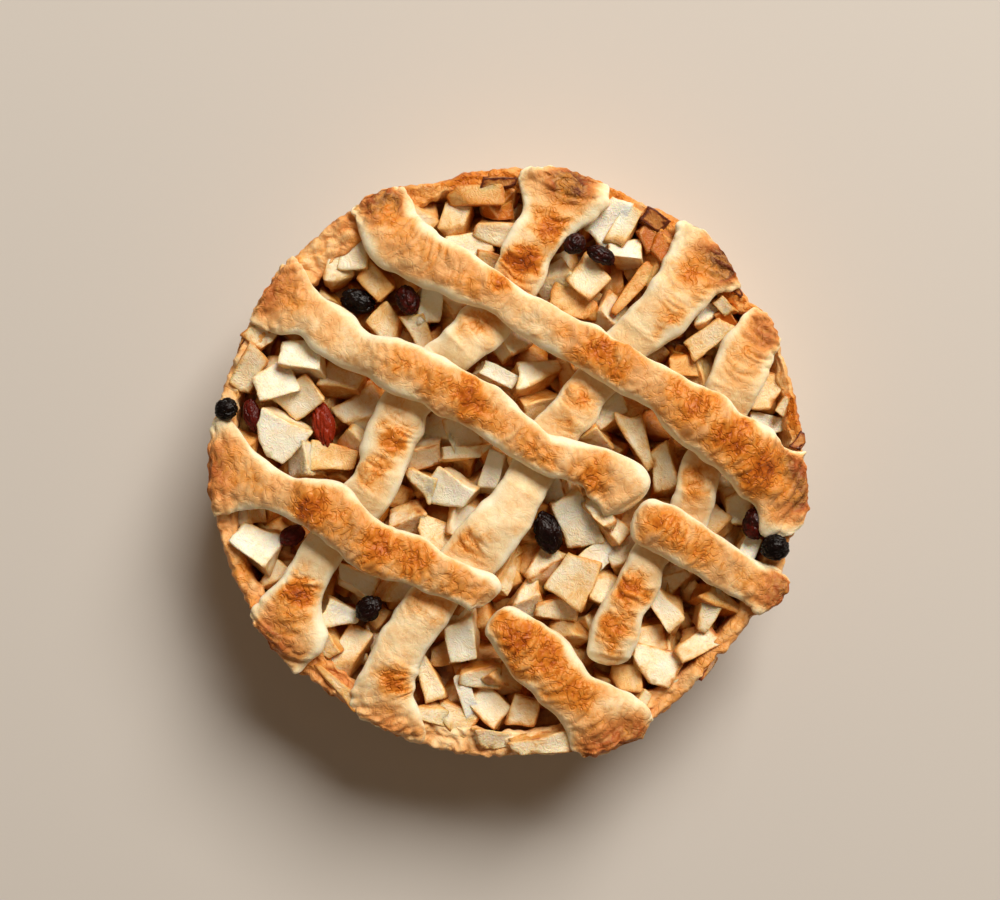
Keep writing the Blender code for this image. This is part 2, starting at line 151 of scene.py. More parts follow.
# Where the oven caught each strip: (x, y, radius, strength).
BROWNED = {
    "strip_under_top": [
        (22, 93, 9, 0.75), (15, 78, 8, 0.8), (6, 68, 8.5, 0.9), (-1, 59, 7, 0.6), (-9, 47, 7, 0.5),
        (-37, 9, 7, 0.65), (-44, -2, 6, 0.6), (-38, 18, 5, 0.35), (-71, -44, 8, 0.8),
        (-75, -50, 8, 0.6), (-79, -60, 9, 0.6),
    ],
    "strip_under_middle": [
        (66, 64, 10, 0.65), (71, 67, 8, 0.7), (56, 49, 7, 0.5), (52, 44, 5, 0.4), (24, 22, 6, 0.6),
        (20, 13, 5, 0.45), (-13, -27, 6, 0.6), (-23, -49, 8, 0.35), (-31, -45, 7, 0.4),
        (-38, -74, 6, 0.75), (-40, -90, 9, 0.4),
    ],
    "strip_under_right": [
        (81, 38, 9, 0.4), (78, 31, 6, 0.3), (88, 44, 6, 0.5), (64, -6, 6, 0.55), (41, -43, 7, 0.8),
        (36, -56, 7, 0.7), (35, -64, 5, 0.45),
    ],
    "strip_over_right": [
        (-42, 86, 8, 0.7), (-37, 79, 9, 0.4), (-26, 71, 9, 0.35), (-13, 60, 6, 0.4),
        (-3, 60, 5, 0.7), (19, 44, 4, 0.45), (32, 38, 9, 0.8), (37, 31, 6, 0.7), (56, 23, 6, 0.6),
        (64, 20, 9, 0.75), (76, 8, 10, 0.85), (85, -3, 10, 0.8), (97, -8, 9, 0.65),
    ],
    "strip_over_middle": [
        (-76, 57, 9, 0.5), (-35, 33, 6, 0.55), (-25, 28, 6, 0.5), (-13, 21, 9, 0.8),
        (-6, 16, 6, 0.6), (8, 4, 7, 0.5), (13, 0, 6, 0.45), (28, -4, 7, 0.7),
    ],
    "strip_over_middle_end": [
        (51, -20, 6, 0.65), (56, -23, 7, 0.7), (66, -29, 8, 0.55), (81, -40, 7, 0.35),
        (91, -44, 7, 0.55),
    ],
    "strip_over_left": [
        (-96, -3, 10, 0.5), (-86, -6, 8, 0.35), (-65, -15, 9, 0.8), (-55, -20, 8, 0.5),
        (-42, -28, 10, 0.75), (-31, -33, 9, 0.65), (-18, -39, 8, 0.45), (-9, -42, 6, 0.3),
    ],
    "strip_over_left_end": [
        (-2, -50, 7, 0.65), (4, -59, 10, 0.85), (13, -66, 10, 0.8), (22, -78, 9, 0.65),
        (32, -93, 10, 0.45), (42, -91, 8, 0.5),
    ],
}

# The pie's outline with the strips' ends that hang over the rim, measured on the photo and
# thinned: (angle in degrees from +X, radius).
OUTLINE = [
    (0, 101.5), (21, 101), (28, 103), (33, 100), (37, 99.5), (42, 102.5), (49, 103.5), (63, 100),
    (80, 102), (106, 99), (114, 102), (163, 100), (172, 102), (225, 102), (227, 100.5),
    (236, 99.5), (260, 101.5), (276, 100.5), (286, 104), (296, 104.5), (299, 101.5), (317, 98.5),
    (328, 100), (333, 105), (337, 105), (338, 101), (345, 101), (347, 103.5), (350, 104),
    (360, 101.5),
]

# Stretches of the tops that are golden all over, as judged: (x, y, radius, strength).
GOLDEN = {
    "strip_over_right": [
        (-34, 75, 16, 0.3), (-16, 63, 14, 0.25), (30, 37, 14, 0.45), (46, 28, 15, 0.42),
        (60, 17, 16, 0.5), (74, 7, 17, 0.6), (88, -4, 16, 0.55),
    ],
    "strip_over_middle": [
        (-62, 46, 14, 0.25), (-38, 32, 14, 0.4), (-20, 24, 14, 0.45), (-6, 15, 13, 0.45),
        (10, 4, 12, 0.35), (28, -4, 12, 0.4),
    ],
    "strip_over_middle_end": [(54, -23, 12, 0.45), (66, -31, 12, 0.4), (84, -41, 12, 0.35)],
    "strip_over_left": [
        (-62, -16, 13, 0.5), (-46, -27, 14, 0.5), (-30, -34, 13, 0.45),
        (-15, -40, 10, 0.35),
    ],
    "strip_over_left_end": [(6, -61, 14, 0.5), (18, -74, 15, 0.5), (30, -87, 14, 0.35)],
    "strip_under_top": [
        (14, 84, 15, 0.4), (4, 64, 14, 0.4), (-40, 10, 13, 0.3), (-74, -52, 14, 0.4),
    ],
    "strip_under_middle": [
        (66, 66, 16, 0.4), (50, 48, 12, 0.25), (26, 22, 12, 0.35), (-10, -30, 14, 0.2),
        (-36, -72, 14, 0.35),
    ],
    "strip_under_right": [(82, 36, 15, 0.3), (64, -8, 11, 0.4), (40, -48, 14, 0.5)],
}

# Round the rim: (angle in degrees from +X, width of its top, rise, how browned, egg wash).
RIM = [
    (0, 3.2, 2.2, 0.5, 0.4), (25, 3.2, 2.4, 0.5, 0.5), (36, 7, 1.0, 0.65, 0.35),
    (50, 9, 1.2, 0.8, 0.3), (62, 5, 0.4, 0.6, 0.45), (76, 7, 1.0, 0.75, 0.35),
    (88, 6, 0.8, 0.6, 0.55), (100, 3.2, 0.2, 0.55, 0.7), (112, 7, 0.8, 0.75, 0.3),
    (130, 7, 0.8, 0.6, 0.22), (146, 9, 0.6, 0.6, 0.2), (158, 5, 1.0, 0.5, 0.15),
    (170, 4.5, 0.4, 0.5, 0.2), (180, 7, 0.2, 0.5, 0.2), (200, 4.5, 1.2, 0.6, 0.25),
    (215, 7, 1.0, 0.65, 0.25), (226, 10, 0.8, 0.7, 0.2), (240, 8, 0.8, 0.6, 0.15),
    (256, 8, 0.2, 0.45, 0.12), (270, 6, 0.8, 0.45, 0.12), (286, 8, 0.2, 0.5, 0.12),
    (300, 6, 1.0, 0.6, 0.2), (320, 4, 1.0, 0.7, 0.25), (334, 5, 0.4, 0.6, 0.25),
    (350, 5, 0.4, 0.6, 0.3), (360, 3.2, 2.2, 0.5, 0.4),
]

# How baked a strip's top is before its browned patches, and which of its ends are pressed on the
# rim: (bake, width there at the first end, width there at the last), with 0 for a free end.
STRIP_LOOKS = {
    "strip_under_top": (0.3, 34, 30), "strip_under_middle": (0.32, 30, 21),
    "strip_under_right": (0.34, 17, 0), "strip_over_right": (0.46, 21, 31),
    "strip_over_middle": (0.42, 28, 0), "strip_over_middle_end": (0.44, 0, 18),
    "strip_over_left": (0.46, 33, 0), "strip_over_left_end": (0.4, 0, 30),
}

# Above this height a strip's pressed end is flattened.
PRESSED_HEIGHT = 50

# Hollows pressed into the dough: (x, y, radius, depth, how much browner and darker, which is
# browning and painted shade in the hollow).
DENTS = [
    (21, 92, 11, 1.8, 0.5), (-39, 86, 6, 0.9, 0.25), (73, 66, 11, 0.8, 0.5),
    (38, -89, 8, 1.4, 0.1), (-76, -58, 7, 1.0, 0.1), (-38, -86, 6, 0.8, 0),
    (91, -3, 6, 0.9, 0.15), (-93, -4, 7, 0.7, 0), (84, 42, 7, 0.6, 0.1), (32, -11, 5, 1.8, 0),
]

# The apple dice that show most: (x, y, length, width, turn in degrees, rise over the ridge, look).
# Looks: w white flesh, c cream, y yellow and soft, o orange with syrup, b with browned edges,
# x burnt.
SHOWN_DICE = [
    (-59, 66, 13, 10, 80, 1, "c"), (-44, 62, 15, 8, -42, 1, "y"), (-27, 54, 14, 8, 88, 1, "w"),
    (-84, 43, 12, 8, 40, 3, "b"), (-69, 37, 15, 14, -8, 3, "w"), (-80, 29, 15, 14, 15, 3, "w"),
    (-71, 23, 16, 12, 40, 0, "c"), (-78, 9, 15, 13, -30, 3, "w"), (-55, 28, 13, 10, -10, 0, "c"),
    (-84, -28, 16, 14, -35, 3, "w"), (-79, -40, 11, 9, 50, 0, "c"), (-51, -41, 13, 7, -25, 1, "w"),
    (-57, -53, 13, 11, -20, 2, "w"), (-55, -67, 20, 9, 60, 1, "c"), (-29, 85, 12, 9, -50, 1, "c"),
    (-18, 82, 13, 9, 75, 1, "c"), (-4, 80, 14, 10, -20, 2, "c"), (-1, 89, 10, 7, 75, 1, "o"),
    (34, 84, 15, 8, 52, 2, "w"), (49, 78, 12, 8, -60, 2, "o"), (41, 72, 12, 9, -5, 2, "w"),
    (28, 62, 14, 12, -40, 3, "b"), (42, 59, 21, 6, 47, 1, "y"), (22, 53, 18, 11, -25, 1, "y"),
    (71, 50, 10, 9, 10, 1, "c"), (71, 42, 15, 6, 8, 0, "c"), (60, 35, 14, 9, -5, 0, "y"),
    (89, 24, 13, 11, 70, 2, "b"), (87, 12, 13, 8, -15, 0, "w"), (11, 29, 17, 11, 10, 1, "c"),
    (-3, 29, 14, 6, -25, 1, "w"), (34, 16, 11, 8, 35, 1, "c"), (45, 6, 21, 9, -72, 2, "c"),
    (54, -2, 15, 9, -75, 1, "b"), (78, -15, 13, 9, -75, 1, "c"), (-29, -6, 12, 10, -20, 1, "c"),
    (-20, -10, 15, 13, -40, 3, "w"), (-4, -3, 15, 7, 75, 1, "w"), (-15, 3, 15, 5, 3, 1, "c"),
    (-14, 11, 14, 11, -70, 1, "c"), (23, -18, 15, 13, -65, 2, "w"), (34, -21, 14, 8, -50, 3, "b"),
    (23, -40, 15, 13, 60, 3, "c"), (31, -32, 13, 9, 50, 0, "w"), (55, -49, 18, 8, -58, 2, "c"),
    (51, -70, 15, 12, -15, 3, "b"), (64, -62, 17, 9, 25, 2, "b"), (58, -76, 20, 5, 27, 1, "c"),
    (-15, -60, 15, 10, -75, 2, "w"), (-10, -72, 14, 9, -5, 2, "b"), (-14, -80, 15, 5, -70, 1, "w"),
    (-26, -74, 16, 8, -75, 1, "c"), (6, -85, 12, 10, 80, 1, "b"), (-17, -88, 12, 9, -20, 1, "b"),
]
# More of them that lie against the rim or on it.
RIM_DICE = [
    (40, 80, 16, 7, 62, 3, "c"), (50, 82.5, 10, 6.5, -32, 3, "x"), (53, 74, 10, 9, -40, 3, "o"),
    (74, 53, 7, 5, -50, 4, "b"), (75, 49, 9, 6, -55, 2, "o"), (69, 43, 15, 6.5, 38, 3, "c"),
    (-11, 91, 19, 7, 3, 4, "y"), (-4, 88, 10, 8, 10, 2, "o"), (-2.5, 96, 11, 5, 8, 4, "x"),
    (-5, -94, 13, 7, 2, 4, "c"), (-26, -85, 13, 6, -20, 3, "c"),
    (-58, -76, 21, 5.5, -38, 4.5, "y"), (82, -30, 11, 6, 70, 2, "w"),
    (73, -49, 16, 8, -35, 3, "y"), (67, -52, 11, 8, 60, 3, "c"),
    (45, -82, 10, 6, 70, 4, "c"), (13, -96, 20, 7, 8, 6, "b"), (71, -39, 12, 7, 75, 2, "c"),
    (100, 7, 6, 4, 50, 5, "x"), (78, 59, 8, 4, -58, 4, "x"), (69, -71, 10, 3, 44, 3, "x"),
    (-91.5, 41, 7, 4, 62, 3, "x"), (94, 20, 6, 4, 70, 5, "b"), (-85, 49, 9, 5, 40, 2, "b"),
    (31, -17, 14, 7, -50, 6, "b"), (-88.5, 31, 13, 9, 60, 3, "b"),
]
# Each look's tone, 0 for ivory and more for orange, and how toasted it is.
LOOKS = {
    "w": (0.0, 0.35), "c": (0.24, 0.55), "y": (0.55, 0.35), "o": (0.9, 0.6), "b": (0.3, 0.95),
    "x": (0.7, 1.95),
}

# Raisins as the solids have them: (x, y, length, width, turn in degrees, redness).
RAISINS = [
    (-51, 55, 12, 8.5, -20, 0.0), (-34, 55, 10, 8, -60, 0.5), (-95, 18, 8, 7.5, 20, 0.0),
    (-87, 16, 11, 6, -75, 0.6), (-63, 13, 16, 7.5, -82, 1.0), (23, 74, 8, 7, 30, 0.4),
    (32, 70, 10, 6, -25, 0.4), (14, -24, 15, 9, -75, 0.15), (84, -21, 11, 8.5, 80, 0.5),
    (91, -29, 9.5, 9, 0, 0.0), (-47, -50, 10, 8, 40, 0.2), (-73, -25, 9, 7, 30, 0.6),
]


def linear(code):
    """An sRGB hex colour as the linear numbers that a shader takes."""
    parts = [int(code[i:i + 2], 16) / 255 for i in (1, 3, 5)]
    return tuple(p / 12.92 if p <= 0.04045 else ((p + 0.055) / 1.055) ** 2.4 for p in parts)


def smoothstep(value, low, high):
    share = np.clip((np.asarray(value, float) - low) / (high - low), 0, 1)
    return share * share * (3 - 2 * share)


def out_of_round(angle):
    """How many times the case's round radius it measures at this angle."""
    return 1 + CASE_OVAL * np.cos(2 * (angle - CASE_OVAL_TURN)) / CASE_RADIUS


def ridge(x, y):
    """Height of the heap under the strips, a shallow dome."""
    return HEAP_EDGE + DOME * (1 - (x * x + y * y) / CASE_RADIUS**2)


def grain(points, size, seed=0.0):
    """Smooth noise from about -1 to 1 at each point, with lumps of this size in millimetres."""
    step = 1 / size
    return np.array([
        noise.noise((p[0] * step + seed, p[1] * step - seed, p[2] * step)) for p in points
    ])


def along(points, every):
    """Stations every so many millimetres down a smooth curve: x, y, width and length so far."""
    rows = np.array(points, float)
    rows = np.vstack([2 * rows[0] - rows[1], rows, 2 * rows[-1] - rows[-2]])
    t = np.linspace(0, 1, 30, endpoint=False)[:, None]
    fine = [
        0.5 * (2 * b + (c - a) * t + (2 * a - 5 * b + 4 * c - d) * t**2
               + (3 * b - a - 3 * c + d) * t**3)
        for a, b, c, d in zip(rows, rows[1:], rows[2:], rows[3:])
    ]
    fine = np.vstack([*fine, rows[-2]])
    length = np.append(0, np.cumsum(np.hypot(*np.diff(fine[:, :2], axis=0).T)))
    wanted = np.linspace(0, length[-1], max(4, round(length[-1] / every)) + 1)
    return np.column_stack([*(np.interp(wanted, length, fine[:, i]) for i in range(3)), wanted])


ROUTES = {name: along(points, 2.0) for name, points in STRIPS.items()}


def outline(angle):
    """Radius of the pie's outline at these angles, in millimetres."""
    keys = np.array(OUTLINE, float).T
    return np.interp(np.degrees(np.asarray(angle)) % 360, keys[0], keys[1])


def clear_of_strips(x, y):
    """Distance from a point to the nearest strip's edge, less than 0 under a strip."""
    return min(
        float((np.hypot(route[:, 0] - x, route[:, 1] - y) - route[:, 2] / 2).min())
        for route in ROUTES.values()
    )


def fill(tree, node, inputs):
    """Fills a node's inputs, by order or by name: nodes and sockets are linked, values are set."""
    for socket, value in inputs.items() if isinstance(inputs, dict) else enumerate(inputs):
        if isinstance(value, bpy.types.Node):
            value = value.outputs[0]
        if isinstance(value, bpy.types.NodeSocket):
            tree.links.new(value, node.inputs[socket])
        else:
            node.inputs[socket].default_value = value


def add_node(tree, kind, inputs=(), stops=(), **settings):
    """A node with its settings and inputs, and a ramp's stops as (place, hex or linear colour)."""
    node = tree.nodes.new(kind)
    for key, value in settings.items():
        setattr(node, key, value)
    fill(tree, node, inputs)
    if stops:
        elements = node.color_ramp.elements
        elements.remove(elements[1])
        for i, (place, colour) in enumerate(stops):
            element = elements[0] if i == 0 else elements.new(place)
            element.position = place
            element.color = (*(linear(colour) if isinstance(colour, str) else colour), 1)
    return node


def new_material(name, stored=(), patterns=()):
    """A new material, its tree and shader, and values that its surface is worked out from.

    These are what the mesh stores under the names, and noise from -0.5 to 0.5 for each pattern,
    given as the size of a lump in millimetres, detail, roughness and distortion.
    """
    made = bpy.data.materials.new(name)
    made.use_nodes = True
    tree = made.node_tree
    values = [
        add_node(tree, "ShaderNodeAttribute", attribute_name=key).outputs["Fac"] for key in stored
    ]
    for size, detail, roughness, distortion in patterns:
        wave = add_node(tree, "ShaderNodeTexNoise", {
            "Vector": add_node(tree, "ShaderNodeTexCoord").outputs["Object"],
            "Scale": 1 / (size * MM), "Detail": detail, "Roughness": roughness,
            "Distortion": distortion,
        })
        values.append(add_node(tree, MATH, (wave, 0.5), operation="SUBTRACT"))
    return made, tree, tree.nodes["Principled BSDF"], values


def dough_material(name, colours):
    """Baked shortcrust with egg wash.

    Dry dough is matt, and goes from cream to tan to brown. Where the wash pooled it is orange,
    a little glossy, and crazed into fine wrinkles that are darker in their grooves.
    """
    made, tree, shader, (bake, wash, broad, mottle, crumb, fold) = new_material(
        name, ("bake", "wash"),
        [(8, 3, 0.6, 0), (2.4, 4, 0.62, 0.9), (0.7, 2, 0.6, 0), (3.4, 2, 0.45, 0.8)],
    )
    vein = add_node(tree, MATH, (fold,), operation="ABSOLUTE")
    groove = add_node(tree, MATH, (vein, -14.0, 1.0), operation="MULTIPLY_ADD")
    groove = add_node(tree, MATH, (groove, 0.0), operation="MAXIMUM")
    totals = []
    for total, parts in (
        (bake, ((broad, 0.55), (mottle, 0.32), (crumb, 0.07))),
        (wash, ((broad, 0.5), (mottle, 0.5), (crumb, 0.08), (groove, 0.1))),
        (wash, ((broad, 0.6), (mottle, 0.6))),
        (0.0, ((mottle, 0.6), (crumb, 0.14))),
    ):
        for part, weight in parts:
            total = add_node(tree, MATH, (part, weight, total), operation="MULTIPLY_ADD")
        totals.append(total)
    tone, rich, cover, height = totals
    dry = add_node(tree, RAMP, (tone,), [
        (0.0, colours.dough), (0.18, "#FBE2B4"), (0.4, "#F1BE80"), (0.6, "#DC924E"),
        (0.8, colours.crust), (1.0, "#6C300F"),
    ])
    glaze = add_node(tree, RAMP, (rich,), [
        (0.15, "#F9CE8E"), (0.38, "#F2AC54"), (0.6, colours.glaze), (0.82, "#B95A12"),
        (1.0, "#74310A"),
    ])
    share = add_node(tree, RANGE, {"Value": cover, "From Min": 0.2, "From Max": 0.56})
    blend = add_node(tree, "ShaderNodeMix", {0: share, 6: dry, 7: glaze}, data_type="RGBA")
    baked = add_node(tree, MATH, (bake, 0.8), operation="MULTIPLY")
    baked = add_node(tree, MATH, (share, baked), operation="MAXIMUM")
    depth = add_node(tree, MATH, (baked, 0.75, 0.35), operation="MULTIPLY_ADD")
    height = add_node(tree, MATH, (height, depth), operation="MULTIPLY")
    sunk = add_node(tree, MATH, (groove, baked), operation="MULTIPLY")
    height = add_node(tree, MATH, (sunk, -0.45, height), operation="MULTIPLY_ADD")
    fill(tree, shader, {
        "Base Color": blend.outputs[2],
        "Roughness": add_node(tree, RANGE, {"Value": share, "To Min": 0.55, "To Max": 0.33}),
        "IOR": 1.45, "Specular IOR Level": 0.3,
        "Subsurface Weight": 0.18, "Subsurface Radius": (1.0, 0.45, 0.16),
        "Subsurface Scale": 2.5 * MM,
        "Normal": add_node(
            tree, "ShaderNodeBump", {"Height": height, "Strength": 0.75, "Distance": 1.0 * MM}
        ),
    })
    return made


def apple_material(colours):
    """Baked apple flesh: moist and slightly see-through, shrivelled into fine veins.

    Cut faces are ivory; steep sides are straw-yellow as painted shade, and deeper dice more
    orange, partly as painted shade; some edges are toasted brown, and a few pieces at the rim
    burnt all over.
    """
    made, tree, shader, (tone, edge, toast, broad, flesh, fold) = new_material(
        "baked apple flesh", ("tone", "edge", "toast"),
        [(6, 2, 0.5, 0), (2.4, 3, 0.55, 0.8), (3.6, 2, 0.6, 2.2)],
    )
    vein = add_node(tree, MATH, (fold,), operation="ABSOLUTE")
    uneven = add_node(tree, MATH, (broad, 2.6, 0.9), operation="MULTIPLY_ADD")
    charred = add_node(tree, MATH, (toast, 1.25, -1.5), operation="MULTIPLY_ADD")
    charred = add_node(tree, MATH, (charred, 0.0), operation="MAXIMUM")
    toasted = add_node(tree, MATH, (edge, toast), operation="MULTIPLY")
    toasted = add_node(tree, MATH, (toasted, uneven), operation="MULTIPLY")
    totals = []
    for total, parts in (
        (tone, ((broad, 0.45), (flesh, 0.3), (edge, 0.2), (vein, 0.5))),
        (toasted, ((flesh, 0.5), (charred, 1.0))),
        (0.0, ((flesh, 0.6), (vein, 2.0))),
    ):
        for part, weight in parts:
            total = add_node(tree, MATH, (part, weight, total), operation="MULTIPLY_ADD")
        totals.append(total)
    mixed, toasted, height = totals
    colour = add_node(tree, RAMP, (mixed,), [
        (0.0, colours.apple), (0.28, "#F9E5C0"), (0.5, "#EDC17E"), (0.75, "#D8903C"),
        (1.0, "#BE6818"),
    ])
    scorch = add_node(tree, RANGE, {"Value": toasted, "From Min": 0.25, "From Max": 1.6})
    burnt = add_node(tree, RAMP, (scorch,), [
        (0.0, "#EBC68C"), (0.4, "#D4944F"), (0.75, "#9C5524"), (1.0, "#5E2A14"),
    ])
    share = add_node(tree, MATH, (scorch, 2.2), operation="MULTIPLY")
    share = add_node(tree, MATH, (share, 1.0), operation="MINIMUM")
    blend = add_node(tree, "ShaderNodeMix", {0: share, 6: colour, 7: burnt}, data_type="RGBA")
    fill(tree, shader, {
        "Base Color": blend.outputs[2], "Roughness": 0.42, "IOR": 1.38, "Subsurface Weight": 0.42,
        "Subsurface Radius": (1.0, 0.5, 0.22), "Subsurface Scale": 2.4 * MM,
        "Normal": add_node(
            tree, "ShaderNodeBump", {"Height": height, "Strength": 0.5, "Distance": 0.8 * MM}
        ),
    })
    return made


def syrup_material():
    """Apple pulp and cinnamon syrup at the bottom of the gaps: amber, wet and uneven."""
    made, tree, shader, (pulp,) = new_material(
        "apple pulp in cinnamon syrup", patterns=[(5, 4, 0.6, 0)]
    )
    shade = add_node(tree, MATH, (pulp, 0.5), operation="ADD")
    fill(tree, shader, {
        "Base Color": add_node(
            tree, RAMP, (shade,), [(0.3, "#7A4A1E"), (0.5, "#B07A38"), (0.7, "#D6A860")]
        ),
        "Roughness": 0.35,
        "Normal": add_node(
            tree, "ShaderNodeBump", {"Height": pulp, "Strength": 0.6, "Distance": 1 * MM}
        ),
    })
    return made


def raisin_material(colours):
    """Raisin skin: near black where it is thick, red-brown where light gets in, and waxy."""
    made, tree, shader, (red, patch, wrinkle) = new_material(
        "raisin skin", ("redness",), [(3, 2, 0.5, 0), (1.2, 3, 0.6, 1.0)]
    )
    shade = add_node(tree, MATH, (patch, 0.6, red), operation="MULTIPLY_ADD")
    fill(tree, shader, {
        "Base Color": add_node(tree, RAMP, (shade,), [
            (0.0, "#0B0404"), (0.4, colours.raisin), (0.75, "#651409"), (1.0, "#8E2A12"),
        ]),
        "Roughness": 0.26, "Specular IOR Level": 0.22,
        "Normal": add_node(
            tree, "ShaderNodeBump", {"Height": wrinkle, "Strength": 0.6, "Distance": 0.5 * MM}
        ),
    })
    return made


def put(name, data):
    """A new object in the scene."""
    made = bpy.data.objects.new(name, data)
    bpy.context.scene.collection.objects.link(made)
    return made


def give_value(mesh, key, values):
    layer = mesh.attributes.new(key, "FLOAT", "POINT")
    layer.data.foreach_set("value", np.asarray(values, np.float32))


def taken_value(mesh, key):
    """A point attribute's values, and the attribute removed."""
    values = np.empty(len(mesh.vertices))
    mesh.attributes[key].data.foreach_get("value", values)
    mesh.attributes.remove(mesh.attributes[key])
    return values


def vector_of(mesh, key):
    values = np.empty(len(mesh.vertices) * 3)
    mesh.vertices.foreach_get(key, values)
    return values.reshape(-1, 3)


def mesh_object(name, points, faces, material, attributes=None):
    """A new object at the origin, its points in metres, with point attributes by name."""
    mesh = bpy.data.meshes.new(name)
    mesh.from_pydata([tuple(p) for p in points], [], [tuple(f) for f in faces])
    for key, values in (attributes or {}).items():
        give_value(mesh, key, values)
    mesh.shade_smooth()
    mesh.materials.append(material)
    mesh.validate()
    return put(name, mesh)


def ringed_object(name, points, around, material, attributes=None, flip=False):
    """An object of rings of points joined in turn, its first and last ring merged to a point."""
    grid = np.arange(len(points)).reshape(-1, around)
    nxt = np.roll(grid, -1, axis=1)
    faces = np.stack([grid[:-1], grid[1:], nxt[1:], nxt[:-1]], axis=-1).reshape(-1, 4)
    made = mesh_object(name, points, faces[:, ::-1] if flip else faces, material, attributes)
    bm = bmesh.new()
    bm.from_mesh(made.data)
    bmesh.ops.remove_doubles(bm, verts=bm.verts, dist=0.05 * MM)
    bmesh.ops.recalc_face_normals(bm, faces=bm.faces)
    bm.to_mesh(made.data)
    bm.free()
    return made


def plain_mesh_of(source, name):
    """The object's evaluated mesh in a new object, and the source removed with its modifiers."""
    bpy.context.view_layer.update()
    graph = bpy.context.evaluated_depsgraph_get()
    mesh = bpy.data.meshes.new_from_object(source.evaluated_get(graph))
    bpy.data.objects.remove(source)
    mesh.name = name
    return put(name, mesh)


def new_tree(name, sockets):
    """A geometry tree with the named inputs beside its geometry, and its two end nodes."""
    tree = bpy.data.node_groups.new(name, "GeometryNodeTree")
    tree.interface.new_socket("Geometry", in_out="INPUT", socket_type="NodeSocketGeometry")
    tree.interface.new_socket("Geometry", in_out="OUTPUT", socket_type="NodeSocketGeometry")
    for label, kind in sockets:
        tree.interface.new_socket(label, in_out="INPUT", socket_type=kind)
    return tree, tree.nodes.new("NodeGroupInput"), tree.nodes.new("NodeGroupOutput")


def finish_tree(tree, geometry, material, end):
    """Ends a tree in Realize Instances and Set Material."""
    real = add_node(tree, "GeometryNodeRealizeInstances", (geometry,))
    fill(tree, end, (
        add_node(tree, "GeometryNodeSetMaterial", {"Geometry": real, "Material": material}),
    ))


def run_tree(source, tree, values, name):
    """The source through the tree with these inputs by name, as a plain mesh object."""
    modifier = source.modifiers.new(tree.name, "NODES")
    modifier.node_group = tree
    for item in tree.interface.items_tree:
        if item.in_out == "INPUT" and item.name in values:
            modifier[item.identifier] = values[item.name]
    return plain_mesh_of(source, name)


def strip_tree():
    """Sweeps a rounded strip of dough along a guide whose points carry its size and place."""
    tree, start, end = new_tree("Dough strip", [
        ("Sides", "NodeSocketInt"), ("Edge Height", "NodeSocketFloat"),
        ("Material", "NodeSocketMaterial"),
    ])
    rail = add_node(tree, "GeometryNodeMeshToCurve", {"Mesh": start.outputs["Geometry"]})
    ring = add_node(
        tree, "GeometryNodeCurvePrimitiveCircle", {"Resolution": start.outputs["Sides"]}
    )
    spot = add_node(
        tree, "ShaderNodeSeparateXYZ", {"Vector": add_node(tree, "GeometryNodeInputPosition")}
    )
    # Full above and nearly flat below: a power of the circle's height makes the section squarer.
    edge = start.outputs["Edge Height"]
    room = add_node(tree, MATH, (1.0, edge), operation="SUBTRACT")
    high = edge
    for sign, power, most, how in ((1.0, 0.62, room, "ADD"), (-1.0, 0.5, edge, "SUBTRACT")):
        side = add_node(tree, MATH, (spot.outputs["Y"], sign), operation="MULTIPLY")
        side = add_node(tree, MATH, (side, 0.0), operation="MAXIMUM")
        side = add_node(tree, MATH, (side, power), operation="POWER")
        side = add_node(tree, MATH, (side, most), operation="MULTIPLY")
        high = add_node(tree, MATH, (high, side), operation=how)
    section = ring
    for label, value in (("across", spot.outputs["X"]), ("height", high)):
        section = add_node(tree, "GeometryNodeStoreNamedAttribute", {
            "Geometry": section, "Name": label, "Value": value,
        }, data_type="FLOAT", domain="POINT")
    swept = add_node(tree, "GeometryNodeCurveToMesh", {
        "Curve": rail, "Profile Curve": section, "Fill Caps": True,
    })
    read = {
        label: add_node(
            tree, "GeometryNodeInputNamedAttribute", {"Name": label}, data_type="FLOAT"
        ).outputs[0]
        for label in (
            "across", "height", "half", "thick", "base", "side_x", "side_y", "mid_x", "mid_y"
        )
    }
    out = add_node(tree, MATH, (read["across"], read["half"]), operation="MULTIPLY")
    place = add_node(tree, "ShaderNodeCombineXYZ", {
        axis: add_node(tree, MATH, (read[way], far, read[origin]), operation="MULTIPLY_ADD")
        for axis, way, far, origin in (
            ("X", "side_x", out, "mid_x"), ("Y", "side_y", out, "mid_y"),
            ("Z", "height", read["thick"], "base"),
        )
    })
    moved = add_node(tree, "GeometryNodeSetPosition", {"Geometry": swept, "Position": place})
    finish_tree(tree, moved, start.outputs["Material"], end)
    return tree


def heights_on(node, route):
    """The node's lowest and highest height, in millimetres, along the middle of its route."""
    mesh = frame["nodes"][node].data
    tree = BVHTree.FromPolygons(
        [v.co[:] for v in mesh.vertices], [p.vertices[:] for p in mesh.polygons]
    )
    found = []
    for x, y, *_ in route:
        top = tree.ray_cast(Vector((x * MM, y * MM, 0.2)), Vector((0, 0, -1)))[0]
        low = tree.ray_cast(Vector((x * MM, y * MM, -0.1)), Vector((0, 0, 1)))[0]
        found.append((low.z / MM, top.z / MM) if top and low else None)
    known = [i for i, pair in enumerate(found) if pair]
    return [
        np.interp(range(len(found)), known, [found[i][k] for i in known]) for k in (0, 1)
    ]


def round_ends(done, length, reach):
    """Share of the full width at this length from an end, rounded over reach."""
    left = np.clip((length - done) / reach, 0, 1)
    return np.sqrt(np.clip(1 - (1 - left) ** 2, 0, 1))


